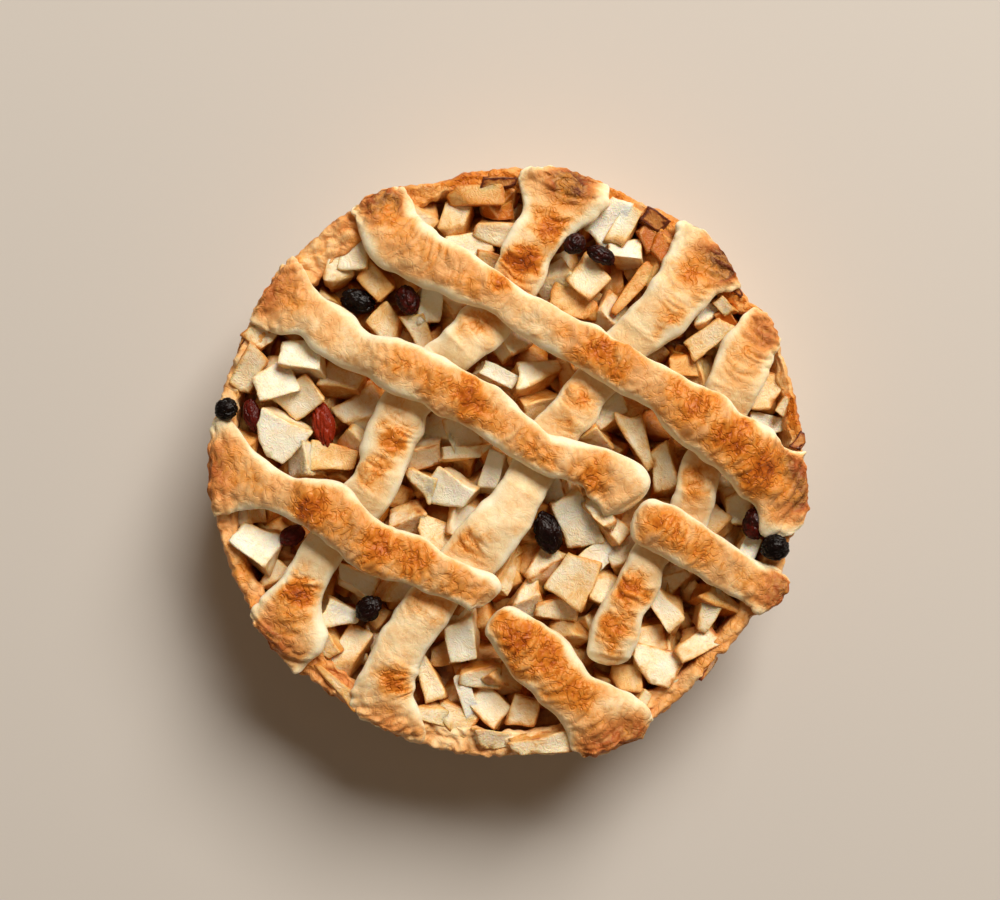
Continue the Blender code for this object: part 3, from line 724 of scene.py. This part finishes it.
def make_strip(name, tree, sizes, material):
    """One dough strip: swept by the tree, then given its lumps, wrinkles and baked colour."""
    _, *pressed = STRIP_LOOKS[name]
    points = [list(point) for point in STRIPS[name]]
    for end, beyond, wide in ((0, 1, pressed[0]), (-1, -2, pressed[1])):
        if wide:
            last, before = np.array(points[end], float), np.array(points[beyond], float)
            out = (last - before)[:2] / np.linalg.norm((last - before)[:2])
            extra = [*(last[:2] + out * 11), wide]
            points.insert(len(points) if end else 0, extra)
    route = along(points, 0.5)
    done, length = route[:, 3], route[-1, 3]
    low, high = heights_on(name, route)
    ahead = np.gradient(route[:, :2], axis=0)
    ahead /= np.linalg.norm(ahead, axis=1)[:, None]
    full = np.ones(len(route))
    for from_end, wide in ((done, pressed[0]), (length - done, pressed[1])):
        if wide:
            flare = 1 - smoothstep(from_end, 9, 30)
            route[:, 2] += np.maximum(wide - route[:, 2], 0) * flare
            route[:, 2] *= round_ends(length - from_end, length, 13.0) * 0.75 + 0.25
        else:
            full = np.minimum(full, round_ends(length - from_end, length, 4.5))
    full = 0.1 + 0.9 * full
    guide = bpy.data.meshes.new("guide")
    guide.from_pydata(
        [(x * MM, y * MM, z * MM) for (x, y, *_), z in zip(route, high)],
        [(i, i + 1) for i in range(len(route) - 1)], [],
    )
    rows = {
        "half": route[:, 2] / 2 * full * MM,
        "thick": (high - low) * (0.3 + 0.7 * full) * MM,
        "base": low * MM,
        "side_x": -ahead[:, 1], "side_y": ahead[:, 0],
        "mid_x": route[:, 0] * MM, "mid_y": route[:, 1] * MM,
        "run": done, "width": route[:, 2] * full,
    }
    for key, values in rows.items():
        give_value(guide, key, values)
    made = run_tree(
        put(name, guide), tree,
        {"Sides": sizes.strip_sides, "Edge Height": 0.35, "Material": material},
        name.replace("strip", "dough"),
    )
    relieve(made, name, sizes)
    return made


def washed(points, marks):
    """How much browned egg wash lies at each point, in ragged patches round the marks."""
    drift = grain(points, 6.0, 7.0)
    value = np.zeros(len(points))
    for x, y, radius, strength in marks:
        apart = np.hypot(points[:, 0] - x, points[:, 1] - y) * (1 + 0.5 * drift)
        value = np.maximum(value, strength * (1 - smoothstep(apart, 0.1 * radius, 1.75 * radius)))
    return value


def relieve(made, name, sizes):
    """Presses a strip's ends on the rim, gives its skin relief, and stores how baked it is, with
    painted shade on its lower sides and in its hollows.
    """
    mesh = made.data
    across, run, side_x, side_y, width = (
        taken_value(mesh, key) for key in ("across", "run", "side_x", "side_y", "width")
    )
    for key in ("height", "half", "thick", "base", "mid_x", "mid_y"):
        taken_value(mesh, key)
    points, normals = vector_of(mesh, "co") / MM, vector_of(mesh, "normal")
    lane = np.column_stack([run, across * 6, np.zeros(len(run))])
    side = np.column_stack([run, np.sign(across) * 30, np.zeros(len(run))])
    seed = 10.0 * list(STRIPS).index(name)
    sway = (0.16 * grain(side, 15, seed) + 0.045 * grain(side, 6, seed)) * width * across
    points[:, 0] += side_x * sway
    points[:, 1] += side_y * sway

    # Near the rim the strip thins, and past the rim's edge it turns down over it.
    angle = np.arctan2(points[:, 1], points[:, 0])
    radius = np.hypot(points[:, 0], points[:, 1])
    ring = np.column_stack([100 * np.cos(angle), 100 * np.sin(angle), np.zeros(len(angle))])
    reach = outline(angle) + 0.7 * grain(ring, 3.0, 3.0) + 0.5 * grain(ring, 1.4, 5.0)
    pressed = smoothstep(radius, reach - 15, reach - 2)
    points[:, 2] -= pressed * np.maximum(points[:, 2] - PRESSED_HEIGHT, 0) * 0.35
    turn, beyond = reach - 3.2, 3.6
    over = np.maximum(radius - turn, 0)
    shrunk = np.where(over > 0, turn + beyond * (1 - np.exp(-over / beyond)), radius)
    points[:, :2] *= (shrunk / np.maximum(radius, 1e-6))[:, None]
    points[:, 2] -= np.minimum(0.10 * over**1.6, 5.5)

    top = smoothstep(normals[:, 2], -0.3, 0.4)
    ragged = grain(lane, 9, seed + 5)
    middle = 1 - smoothstep(np.abs(across + 0.3 * ragged), 0.62, 1.08)
    patch = 0.88 * washed(points, BROWNED[name])
    golden = washed(points, GOLDEN[name]) * np.clip(0.75 + 1.1 * grain(points, 11, 21.0), 0, 1.3)
    wash = np.maximum(patch, 0.5 * golden + 0.45 * patch)
    wash *= smoothstep(normals[:, 2], 0.15, 0.75) * (0.35 + 0.65 * middle)
    wash *= 1 - 0.5 * pressed
    bake = STRIP_LOOKS[name][0] * (0.25 + 0.75 * middle) * smoothstep(normals[:, 2], 0.0, 0.7)
    bake += (0.46 * patch + 0.38 * golden) * top * (0.35 + 0.65 * middle) - 0.13
    bake += pressed * (0.1 + 0.42 * patch)
    # Undersides and lower sides are browner: partly a baked underside, partly painted shade on the
    # strip's flanks.
    bake += 0.24 * (1 - smoothstep(normals[:, 2], -0.3, 0.4))
    crinkled = smoothstep(np.maximum(wash, bake * 0.9), 0.12, 0.55)

    bend = run + 0.035 * (across * width / 2) ** 2 + 2.2 * grain(lane, 7, seed + 1)
    folds = np.column_stack([bend / 1.5, across * width / 2 / 4.5, np.zeros(len(run))])
    fold = 2.8 * np.abs(grain(folds, 1.9, seed + 2)) - 0.8
    lump = grain(points, 12, 1.0) * 0.8 + grain(points, 5.5, 2.0) * 0.3
    fine = 1 - 2 * np.abs(grain(points, 1.5, 9.0))
    relief = sizes.strip_lumps / MM * lump
    relief += sizes.strip_wrinkles / MM * (0.1 + 0.9 * crinkled) * fold
    knob = 3.0 * np.abs(grain(points, 4.2, 14.0)) - 0.7
    relief += crinkled * (0.06 * fine + 0.35 * knob) + 0.04 * grain(points, 1.5, 4.0)
    crag = 3.0 * np.abs(grain(points, 4.0, 6.0)) - 0.7
    relief += pressed * (0.75 * crag + 0.12 * fine)
    points += normals * (relief * top)[:, None]
    for x, y, size, depth, brown in DENTS:
        apart = np.hypot(points[:, 0] - x, points[:, 1] - y)
        inside = 1 - smoothstep(apart, 0, size)
        points[:, 2] -= depth * top * inside
        # Each hollow gets browner, as browning and as painted shade in the hollow.
        bake += brown * inside
    mesh.vertices.foreach_set("co", (points * MM).ravel())
    give_value(mesh, "bake", bake - 0.06 * crinkled * np.clip(fold, -1, 1))
    give_value(mesh, "wash", wash - 0.1 * crinkled * middle * np.clip(fold, -0.7, 1))
    mesh.shade_smooth()
    mesh.update()


def make_crust(sizes, material):
    """The case: a flat base, an upright wall and a torn rim whose width follows the photo."""
    around = sizes.case_steps
    angles = np.linspace(0, 2 * math.pi, around, endpoint=False)
    keys = np.array(RIM, float).T
    wide, rise, browned, glazed = (
        np.interp(np.degrees(angles), keys[0], column) for column in keys[1:]
    )
    circle = np.column_stack([100 * np.cos(angles), 100 * np.sin(angles), np.zeros(around)])
    wide = wide + 1.3 * grain(circle, 8, 4.0) + 0.8 * grain(circle, 3.5, 6.0)
    rise = rise + 1.0 * grain(circle, 11, 8.0) + 0.7 * grain(circle, 4, 2.0)
    wide = np.maximum(wide, 2.4)
    reach = np.minimum(outline(angles), CASE_REACH) / out_of_round(angles) - CASE_RADIUS
    reach += 0.45 * grain(circle, 4, 1.0) + 0.4 * grain(circle, 1.8, 7.0)
    one = np.ones(around)
    rows = [(radius * one, 0 * one) for radius in (0.02, 30, 60, 85, 94, 97)]
    for turn in np.linspace(0, math.pi / 2, 5):
        rows.append(((FOOT_RADIUS + 1.7 * math.sin(turn)) * one, 1.9 * (1 - math.cos(turn)) * one))
    for z in np.linspace(3, RIM_HEIGHT - 3, 40):
        lean = float(smoothstep(z, 22, 46))
        rows.append(((99.3 + 0.5 * min(z / 20, 1)) + lean * reach, z * one))
    edge = 99.8 + reach
    for turn in np.linspace(0.2, math.pi / 2, 6):
        rows.append((edge - 1.6 * (1 - math.cos(turn)),
                     RIM_HEIGHT - 3 + (2.6 + rise) * math.sin(turn)))
    inner = CASE_RADIUS - wide
    for share in np.linspace(0.08, 0.92, 16):
        rows.append((edge - 1.6 + (inner - edge + 1.6) * share,
                     RIM_HEIGHT - 0.4 + rise * (1 - 0.55 * share)))
    for turn in np.linspace(0, math.pi / 2, 7):
        rows.append((inner - 1.2 * math.sin(turn),
                     RIM_HEIGHT - 0.4 + rise * 0.45 - 3 * (1 - math.cos(turn))))
    for z in (43, 41, 38, 34, 28, 16, 8):
        rows.append((inner * 0 + INNER_RADIUS - (43 - z) * 0.03, z * one))
    rows.append((0.02 * one, BASE_TOP * one))
    radius, height = np.array(rows).transpose(1, 0, 2)
    spun = radius * out_of_round(angles)
    points = np.stack([spun * np.cos(angles), spun * np.sin(angles), height], axis=-1)
    count = len(rows)
    flat = points.reshape(-1, 3)
    top = smoothstep(flat[:, 2], RIM_HEIGHT - 6, RIM_HEIGHT - 1)
    wall = smoothstep(flat[:, 2], 0.5, 5) * (np.hypot(flat[:, 0], flat[:, 1]) > 80)
    out = np.column_stack([flat[:, 0], flat[:, 1], np.zeros(len(flat))])
    out /= np.maximum(np.linalg.norm(out, axis=1), 1e-6)[:, None]
    broad = np.tile(smoothstep(wide, 4, 7), count)
    crease = 3.2 * np.abs(grain(flat, 4.6, 3.0)) - 0.7
    fine = 3.0 * np.abs(grain(flat, 2.3, 8.0)) - 0.7
    bump = 0.4 * grain(flat, 9, 1.0) + 0.25 * grain(flat, 2.6, 5.0) + 0.12 * fine
    shift = wall * (bump * (0.7 + 0.6 * top) + 0.25 * top * crease)
    flat += out * shift[:, None]
    flat[:, 2] += top * wall * (
        (0.3 + 0.75 * broad) * crease + (0.1 + 0.3 * broad) * fine + 0.12 * grain(flat, 1.4, 2.0)
    )
    bake = 0.36 + (np.tile(browned, count) - 0.36) * smoothstep(flat[:, 2], 14, RIM_HEIGHT - 2)
    bake += 0.12 * grain(flat, 16, 6.0) - 0.1 * top * crease
    outer = smoothstep(np.hypot(flat[:, 0], flat[:, 1]), 97, 100.5)
    bake += 0.06 * top * outer - 0.1 * top
    wash = top * (np.tile(glazed, count) + 0.35 * grain(flat, 12, 4.0))
    return ringed_object(
        "crust_case", flat * MM, around, material, {"bake": bake, "wash": wash}, flip=True
    )


def make_core(material):
    """The heap's own core: pulp that shows only at the bottom of the gaps between the dice."""
    around = 180
    angles = np.linspace(0, 2 * math.pi, around, endpoint=False)
    points = []
    for radius in np.linspace(0.02, 94.0, 46):
        x, y = radius * np.cos(angles), radius * np.sin(angles)
        points.append(np.column_stack([x, y, ridge(x, y) - 12.5]))
    skirt = points[-1].copy()
    skirt[:, 2] = 12
    points += [skirt, skirt * (0.0002, 0.0002, 1)]
    flat = np.vstack(points)
    top = flat[:, 2] > 20
    flat[:, 2] += top * (1.6 * grain(flat, 7, 2.0) + 0.6 * grain(flat, 3, 4.0))
    return ringed_object("apple_pulp", flat * MM, around, material)


def cut_die(name, draw, cuts, faces):
    """A die of apple 1 unit across: flat knife cuts, shrivelled so that the faces sink a little.

    Where two faces meet, the edge attribute is 1. It is 0 in the middle of a face.
    """
    planes = [(Vector(n) * 1.0, 0.5 * draw.uniform(0.86, 1.05)) for n in (
        (1, 0, 0), (-1, 0, 0), (0, 1, 0), (0, -1, 0), (0, 0, 1), (0, 0, -1)
    )]
    planes = [
        ((n + Vector(draw.uniform(-0.2, 0.2) for _ in range(3))).normalized(), d)
        for n, d in planes
    ]
    planes += [
        ((Euler((0, draw.uniform(-0.5, 0.5), draw.uniform(0, 6.28))).to_matrix()
          @ Vector((1, 0, 0))), draw.uniform(0.24, 0.42)) for _ in range(cuts)
    ]
    bm = bmesh.new()
    bmesh.ops.create_cube(bm, size=2)
    for away, depth in planes:
        result = bmesh.ops.bisect_plane(
            bm, geom=bm.verts[:] + bm.edges[:] + bm.faces[:], plane_co=away * depth,
            plane_no=away, clear_outer=True,
        )
        rim = [item for item in result["geom_cut"] if isinstance(item, bmesh.types.BMEdge)]
        if rim:
            bmesh.ops.contextual_create(bm, geom=rim)
    mesh = bpy.data.meshes.new(name)
    bm.to_mesh(mesh)
    bm.free()
    block = put(name, mesh)
    remesh = block.modifiers.new("even", "REMESH")
    remesh.mode = "VOXEL"
    remesh.voxel_size = DIE_VOXEL
    block = plain_mesh_of(block, name)
    mesh = block.data
    points, normals = vector_of(mesh, "co"), vector_of(mesh, "normal")
    depths = np.sort(
        np.array([depth - points @ np.array(away) for away, depth in planes]), axis=0
    )
    inward = depths[1]
    seed = draw.uniform(0, 50)
    warp = np.column_stack([grain(points, 0.75, seed + i) for i in (0, 7, 13)])
    sink = 0.035 * smoothstep(inward, 0.02, 0.3)
    sink = sink + 0.022 * grain(points, 0.22, seed) + 0.05 * grain(points, 0.6, seed)
    points -= normals * sink[:, None]
    points += 0.075 * warp
    mesh.vertices.foreach_set("co", points.ravel())
    give_value(mesh, "edge", 1 - smoothstep(inward, 0.015, 0.11))
    thin = block.modifiers.new("fewer", "DECIMATE")
    thin.ratio = faces / (2 * len(mesh.polygons))
    block = plain_mesh_of(block, name)
    block.data.shade_smooth()
    for owner in list(block.users_collection):
        owner.objects.unlink(block)
    return block


def dice_kinds(draw, faces):
    """A collection of the shapes that a quartered apple gives when it is diced."""
    kinds = bpy.data.collections.new("dice kinds")
    recipes = [0, 1, 1, 2, 0, 2, 3, 1, 2, 1, 3, 0, 1, 2]
    for i, cuts in enumerate(recipes):
        kinds.objects.link(cut_die(f"die_{i:02d}", draw, cuts, faces))
    return kinds, len(recipes)


def dice_tree():
    """Puts a die of its own kind, size and turn on every point, and joins them."""
    tree, start, end = new_tree("Diced apple", [
        ("Kinds", "NodeSocketCollection"), ("Size", "NodeSocketFloat"),
        ("Material", "NodeSocketMaterial"),
    ])
    kinds = add_node(
        tree, "GeometryNodeCollectionInfo",
        {"Collection": start.outputs["Kinds"], "Separate Children": True, "Reset Children": True},
    )
    read = {
        label: add_node(
            tree, "GeometryNodeInputNamedAttribute", {"Name": label}, data_type=kind
        ).outputs[0]
        for label, kind in (("kind", "INT"), ("turn", "FLOAT_VECTOR"), ("size", "FLOAT_VECTOR"))
    }
    scaled = add_node(
        tree, "ShaderNodeVectorMath",
        {0: read["size"], "Scale": start.outputs["Size"]}, operation="SCALE",
    )
    placed = add_node(tree, "GeometryNodeInstanceOnPoints", {
        "Points": start.outputs["Geometry"], "Instance": kinds.outputs[0], "Pick Instance": True,
        "Instance Index": read["kind"], "Rotation": read["turn"], "Scale": scaled.outputs[0],
    })
    finish_tree(tree, placed.outputs[0], start.outputs["Material"], end)
    return tree


def shown_rows(draw, kinds):
    """The dice that show, listed ones and then fillers: (place, size, turn, kind, tone, toast)."""
    rows = []
    taken = [(x, y, RAISIN_ROOM) for x, y, *_ in RAISINS]
    for x, y, length, width, turn, rise, look in SHOWN_DICE + RIM_DICE:
        tone, toast = LOOKS[look]
        depth = draw.uniform(9.5, 12) if width > 7.5 else width * draw.uniform(0.8, 1.1)
        lean = (draw.uniform(-0.4, 0.4), draw.uniform(-0.3, 0.3), math.radians(turn))
        z = ridge(x, y) + rise - depth / 2 - 0.5
        rows.append(((x, y, z), (length * 1.04, width * 1.04, depth), lean, draw.randrange(kinds),
                     tone + draw.uniform(-0.08, 0.08), toast))
        taken.append((x, y, 0.36 * (length + width) / 2 + 0.5))
    for _ in range(9000):
        radius, angle = 92.5 * math.sqrt(draw.random()), draw.uniform(0, 2 * math.pi)
        x, y = radius * math.cos(angle), radius * math.sin(angle)
        if any(math.hypot(x - a, y - b) < DIE_ROOM + r for a, b, r in taken):
            continue
        if clear_of_strips(x, y) < 1.5:
            continue
        size = (draw.uniform(12, 16), draw.uniform(9, 13), draw.uniform(8, 11))
        lean = (draw.uniform(-0.75, 0.75), draw.uniform(-0.6, 0.6), draw.uniform(0, 6.28))
        z = ridge(x, y) - draw.uniform(0.4, 3.2) - size[2] / 2 + 1.5 * float(radius > 86)
        tone = min(max(draw.gauss(0.29, 0.18), 0), 0.8)
        rows.append(((x, y, z), size, lean, draw.randrange(kinds), tone, draw.uniform(0.1, 1.0)))
        taken.append((x, y, DIE_ROOM))
    return rows


def deep_rows(draw, kinds):
    """The dice under those, wherever a gap between strips could show one, as rows alike."""
    rows, taken = [], []
    for _ in range(6000):
        radius, angle = 87 * math.sqrt(draw.random()), draw.uniform(0, 2 * math.pi)
        x, y = radius * math.cos(angle), radius * math.sin(angle)
        if clear_of_strips(x, y) < -3:
            continue
        if any(math.hypot(x - a, y - b) < DEEP_SPACING for a, b in taken):
            continue
        size = (draw.uniform(10, 15), draw.uniform(8, 11), draw.uniform(8, 11))
        lean = (draw.uniform(-0.9, 0.9), draw.uniform(-0.9, 0.9), draw.uniform(0, 6.28))
        z = ridge(x, y) - draw.uniform(6.5, 9) - size[2] / 2
        tone = min(max(draw.gauss(0.34, 0.14), 0.1), 0.7)
        rows.append(((x, y, z), size, lean, draw.randrange(kinds), tone, draw.uniform(0, 0.6)))
        taken.append((x, y))
    return rows


def make_dice(name, tree, draw, rows_of, faces, sizes, material):
    """Dice at the places that a rule gives. The deeper they lie the darker they are, partly syrup
    they took up and partly painted shade of the gaps; their steep sides get painted shade.
    """
    kinds, count = dice_kinds(draw, faces)
    rows = rows_of(draw, count)
    mesh = bpy.data.meshes.new("dice points")
    mesh.from_pydata([tuple(c * MM for c in row[0]) for row in rows], [], [])
    for index, label in enumerate(("size", "turn"), 1):
        values = np.array([row[index] for row in rows], np.float32)
        layer = mesh.attributes.new(label, "FLOAT_VECTOR", "POINT")
        layer.data.foreach_set("vector", values.ravel())
    mesh.attributes.new("kind", "INT", "POINT").data.foreach_set("value", [r[3] for r in rows])
    give_value(mesh, "tone", [row[4] for row in rows])
    give_value(mesh, "toast", [row[5] for row in rows])
    made = run_tree(
        put(name, mesh), tree,
        {"Kinds": kinds, "Size": sizes.dice_scale * MM, "Material": material}, name,
    )
    for die in list(kinds.objects):
        bpy.data.objects.remove(die)
    bpy.data.collections.remove(kinds)
    mesh = made.data
    points = vector_of(mesh, "co") / MM
    radius = np.hypot(points[:, 0], points[:, 1])
    reach = np.minimum(outline(np.arctan2(points[:, 1], points[:, 0])), CASE_REACH)
    most = reach - 3.5 + 3.8 * smoothstep(points[:, 2], RIM_HEIGHT - 1, RIM_HEIGHT + 1.5)
    points[:, :2] *= np.minimum(1, most / np.maximum(radius, 1e-6))[:, None]
    mesh.vertices.foreach_set("co", (points * MM).ravel())
    depth = ridge(points[:, 0], points[:, 1]) - points[:, 2]
    # Deeper dice and steep sides get more tone: painted shade of the gaps and of the sides turned
    # from the light, with some syrup taken up deep down.
    side_shade = 1 - smoothstep(vector_of(mesh, "normal")[:, 2], 0.2, 0.8)
    soaked_and_shade = 0.22 * smoothstep(depth, 1, 12) + 0.36 * side_shade + 0.2 * grain(points, 10, 31.0)
    give_value(mesh, "tone", taken_value(mesh, "tone") + soaked_and_shade)
    for key in ("kind", "size", "turn"):
        if key in mesh.attributes:
            mesh.attributes.remove(mesh.attributes[key])
    return made


def make_raisins(sizes, material):
    """All raisins in one mesh: ellipsoids folded into deep creases, each where its solid lies."""
    whole = bmesh.new()
    redness = []
    for number, (_, _, length, width, turn, red) in enumerate(RAISINS, 1):
        low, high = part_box(f"raisin_{number}")
        centre = (low + high) / 2
        one = bmesh.new()
        bmesh.ops.create_icosphere(one, subdivisions=5, radius=1)
        seed = Vector((number * 3.7, 0, 0))
        for vertex in one.verts:
            p = vertex.co.copy()
            bent = p + 0.35 * Vector((noise.noise(p * 1.5 + seed), noise.noise(p * 1.5 - seed), 0))
            crease = abs(noise.noise(Vector((bent.x * 0.9, bent.y * 1.9, bent.z * 1.9)) + seed))
            crease = (1 - min(crease * 4.5, 1)) ** 1.5
            dent = noise.noise(p * 1.2 + seed)
            fine = 1 - min(abs(noise.noise(bent * 3.6 + seed)) * 5, 1)
            vertex.co *= 1.03 + 0.12 * dent - 0.2 * crease - 0.06 * fine
            vertex.co.x *= length / 2 * MM
            vertex.co.y *= width / 2 * MM
            vertex.co.z *= width / 2 * sizes.raisin_flatness * MM
        bmesh.ops.rotate(one, verts=one.verts, matrix=Matrix.Rotation(math.radians(turn), 3, "Z"))
        bmesh.ops.translate(one, verts=one.verts, vec=centre)
        piece = bpy.data.meshes.new("raisin")
        one.to_mesh(piece)
        redness += [red] * len(one.verts)
        one.free()
        whole.from_mesh(piece)
        bpy.data.meshes.remove(piece)
    mesh = bpy.data.meshes.new("raisins")
    whole.to_mesh(mesh)
    whole.free()
    give_value(mesh, "redness", redness)
    mesh.materials.append(material)
    mesh.shade_smooth()
    return put("raisins", mesh)


class PieSizes(PropertyGroup):
    """Sizes that a user may change."""

    strip_sides: IntProperty(
        name="Strip sides", description="Points round a strip", default=72, min=16, max=96
    )
    strip_lumps: FloatProperty(
        name="Strip lumps", description="Depth of the strips' lumps", default=1.25 * MM, min=0,
        unit="LENGTH", precision=5,
    )
    strip_wrinkles: FloatProperty(
        name="Strip wrinkles", description="Depth of the strips' wrinkles", default=0.6 * MM,
        min=0, unit="LENGTH", precision=5,
    )
    case_steps: IntProperty(
        name="Case steps", description="Points round the case", default=1050, min=120, max=1150
    )
    dice_seed: IntProperty(name="Dice seed", description="Seed of the loose dice", default=11)
    dice_scale: FloatProperty(
        name="Dice scale", description="Size of the apple dice beside their listed size",
        default=1.0, min=0.5, max=1.2, subtype="FACTOR",
    )
    raisin_flatness: FloatProperty(
        name="Raisin flatness", description="Height of a raisin beside its width", default=0.78,
        min=0.4, max=1.0, subtype="FACTOR",
    )


class PieColours(PropertyGroup):
    """Colours that a user may change."""

    dough: FloatVectorProperty(
        name="Dough", description="Palest dough", subtype="COLOR", default=linear("#FFF4D6")
    )
    crust: FloatVectorProperty(
        name="Crust", description="Well-baked dough", subtype="COLOR", default=linear("#B25E25")
    )
    glaze: FloatVectorProperty(
        name="Egg wash", description="Baked egg wash", subtype="COLOR", default=linear("#E0852A")
    )
    apple: FloatVectorProperty(
        name="Apple", description="Palest apple flesh", subtype="COLOR", default=linear("#FDF6E4")
    )
    raisin: FloatVectorProperty(
        name="Raisin", description="Raisin skin", subtype="COLOR", default=linear("#220806")
    )
    floor: FloatVectorProperty(
        name="Floor", description="Colour of the floor", subtype="COLOR", default=linear("#CFCBC6")
    )


def ride_as(piece, slot, *nodes):
    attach(piece, "root")
    if nodes:
        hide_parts(*nodes)


class PIE_OT_case(Operator):
    """Build the shortcrust case"""

    bl_idname = "pie.case"
    bl_label = "Shortcrust case"

    def execute(self, context):
        dough = dough_material("baked shortcrust case", context.scene.pie_colours)
        ride_as(make_crust(context.scene.pie_sizes, dough), "crust", "crust")
        return {"FINISHED"}


class PIE_OT_filling(Operator):
    """Build the heap of diced apple"""

    bl_idname = "pie.filling"
    bl_label = "Diced apple"

    def execute(self, context):
        ride_as(make_core(syrup_material()), "filling", "filling")
        sizes = context.scene.pie_sizes
        draw, tree = random.Random(sizes.dice_seed), dice_tree()
        flesh = apple_material(context.scene.pie_colours)
        for name, rows_of, faces in (
            ("diced_apple", shown_rows, 760), ("diced_apple_deep", deep_rows, 90),
        ):
            dice = make_dice(name, tree, draw, rows_of, faces, sizes, flesh)
            ride_as(dice, "filling", "filling")
        return {"FINISHED"}


class PIE_OT_lattice(Operator):
    """Build the lattice of egg-washed dough strips"""

    bl_idname = "pie.lattice"
    bl_label = "Dough lattice"

    def execute(self, context):
        dough = dough_material("egg-washed shortcrust strip", context.scene.pie_colours)
        tree = strip_tree()
        for name in STRIPS:
            ride_as(make_strip(name, tree, context.scene.pie_sizes, dough), "strip", name)
        return {"FINISHED"}


class PIE_OT_raisins(Operator):
    """Build the raisins"""

    bl_idname = "pie.raisins"
    bl_label = "Raisins"

    def execute(self, context):
        nodes = [f"raisin_{i}" for i in range(1, len(RAISINS) + 1)]
        skin = raisin_material(context.scene.pie_colours)
        ride_as(make_raisins(context.scene.pie_sizes, skin), "raisin", *nodes)
        return {"FINISHED"}


class PIE_OT_stage(Operator):
    """Lay the floor and set the lights and the camera"""

    bl_idname = "pie.stage"
    bl_label = "Stage"

    def execute(self, context):
        scene = context.scene
        made, tree, shader, _ = new_material("pale studio floor")
        fill(tree, shader, {"Base Color": (*scene.pie_colours.floor, 1), "Roughness": 0.8})
        corners = [(-3, -3, 0), (3, -3, 0), (3, 3, 0), (-3, 3, 0)]
        floor = mesh_object("floor", corners, [(0, 1, 2, 3)], made)
        world = bpy.data.worlds.new("studio")
        world.use_nodes = True
        fill(world.node_tree, world.node_tree.nodes["Background"], {
            "Color": (*linear("#F2CDA4"), 1), "Strength": 0.13,
        })
        scene.world = world
        for name, place, size, power in (
            ("window", (0.95, 1.8, 2.1), 1.5, 110), ("bounce", (-0.9, -0.5, 1.0), 1.2, 0.6),
        ):
            light = bpy.data.lights.new(name, "AREA")
            light.size = size
            light.energy = power
            light.color = linear("#FFF7EC")
            lamp = put(name, light)
            lamp.location = place
            away = Vector((0, 0, 0.03)) - Vector(place)
            lamp.rotation_euler = away.to_track_quat("-Z", "Y").to_euler()
        camera = bpy.data.cameras.new("camera")
        camera.sensor_width = 36
        camera.lens = camera.sensor_width * CAMERA_DISTANCE / (FRAME_WIDTH * PIXEL * MM)
        camera.clip_start = 0.01
        scene.camera = put("camera", camera)
        right, up = FRAME_SHIFT
        scene.camera.location = (
            right * PIXEL * MM, up * PIXEL * MM, RIM_HEIGHT * MM + CAMERA_DISTANCE
        )
        scene.view_settings.view_transform = "Standard"
        return {"FINISHED"}


class PIE_PT_panel(Panel):
    """The pie's pieces and sizes"""

    bl_label = "Lattice apple pie"
    bl_space_type = "VIEW_3D"
    bl_region_type = "UI"
    bl_category = "Pie"

    def draw(self, context):
        for made in OPERATORS:
            self.layout.operator(made.bl_idname)
        for group in (context.scene.pie_sizes, context.scene.pie_colours):
            for key in type(group).__annotations__:
                self.layout.prop(group, key)


OPERATORS = (PIE_OT_case, PIE_OT_filling, PIE_OT_lattice, PIE_OT_raisins, PIE_OT_stage)
CLASSES = (PieSizes, PieColours, *OPERATORS, PIE_PT_panel)


def register():
    for made in CLASSES:
        bpy.utils.register_class(made)
    bpy.types.Scene.pie_sizes = PointerProperty(type=PieSizes)
    bpy.types.Scene.pie_colours = PointerProperty(type=PieColours)


def unregister():
    del bpy.types.Scene.pie_sizes
    del bpy.types.Scene.pie_colours
    for made in reversed(CLASSES):
        bpy.utils.unregister_class(made)


def main():
    register()
    bpy.ops.pie.case()
    bpy.ops.pie.filling()
    bpy.ops.pie.lattice()
    bpy.ops.pie.raisins()
    bpy.ops.pie.stage()


if __name__ == "__main__":
    main()
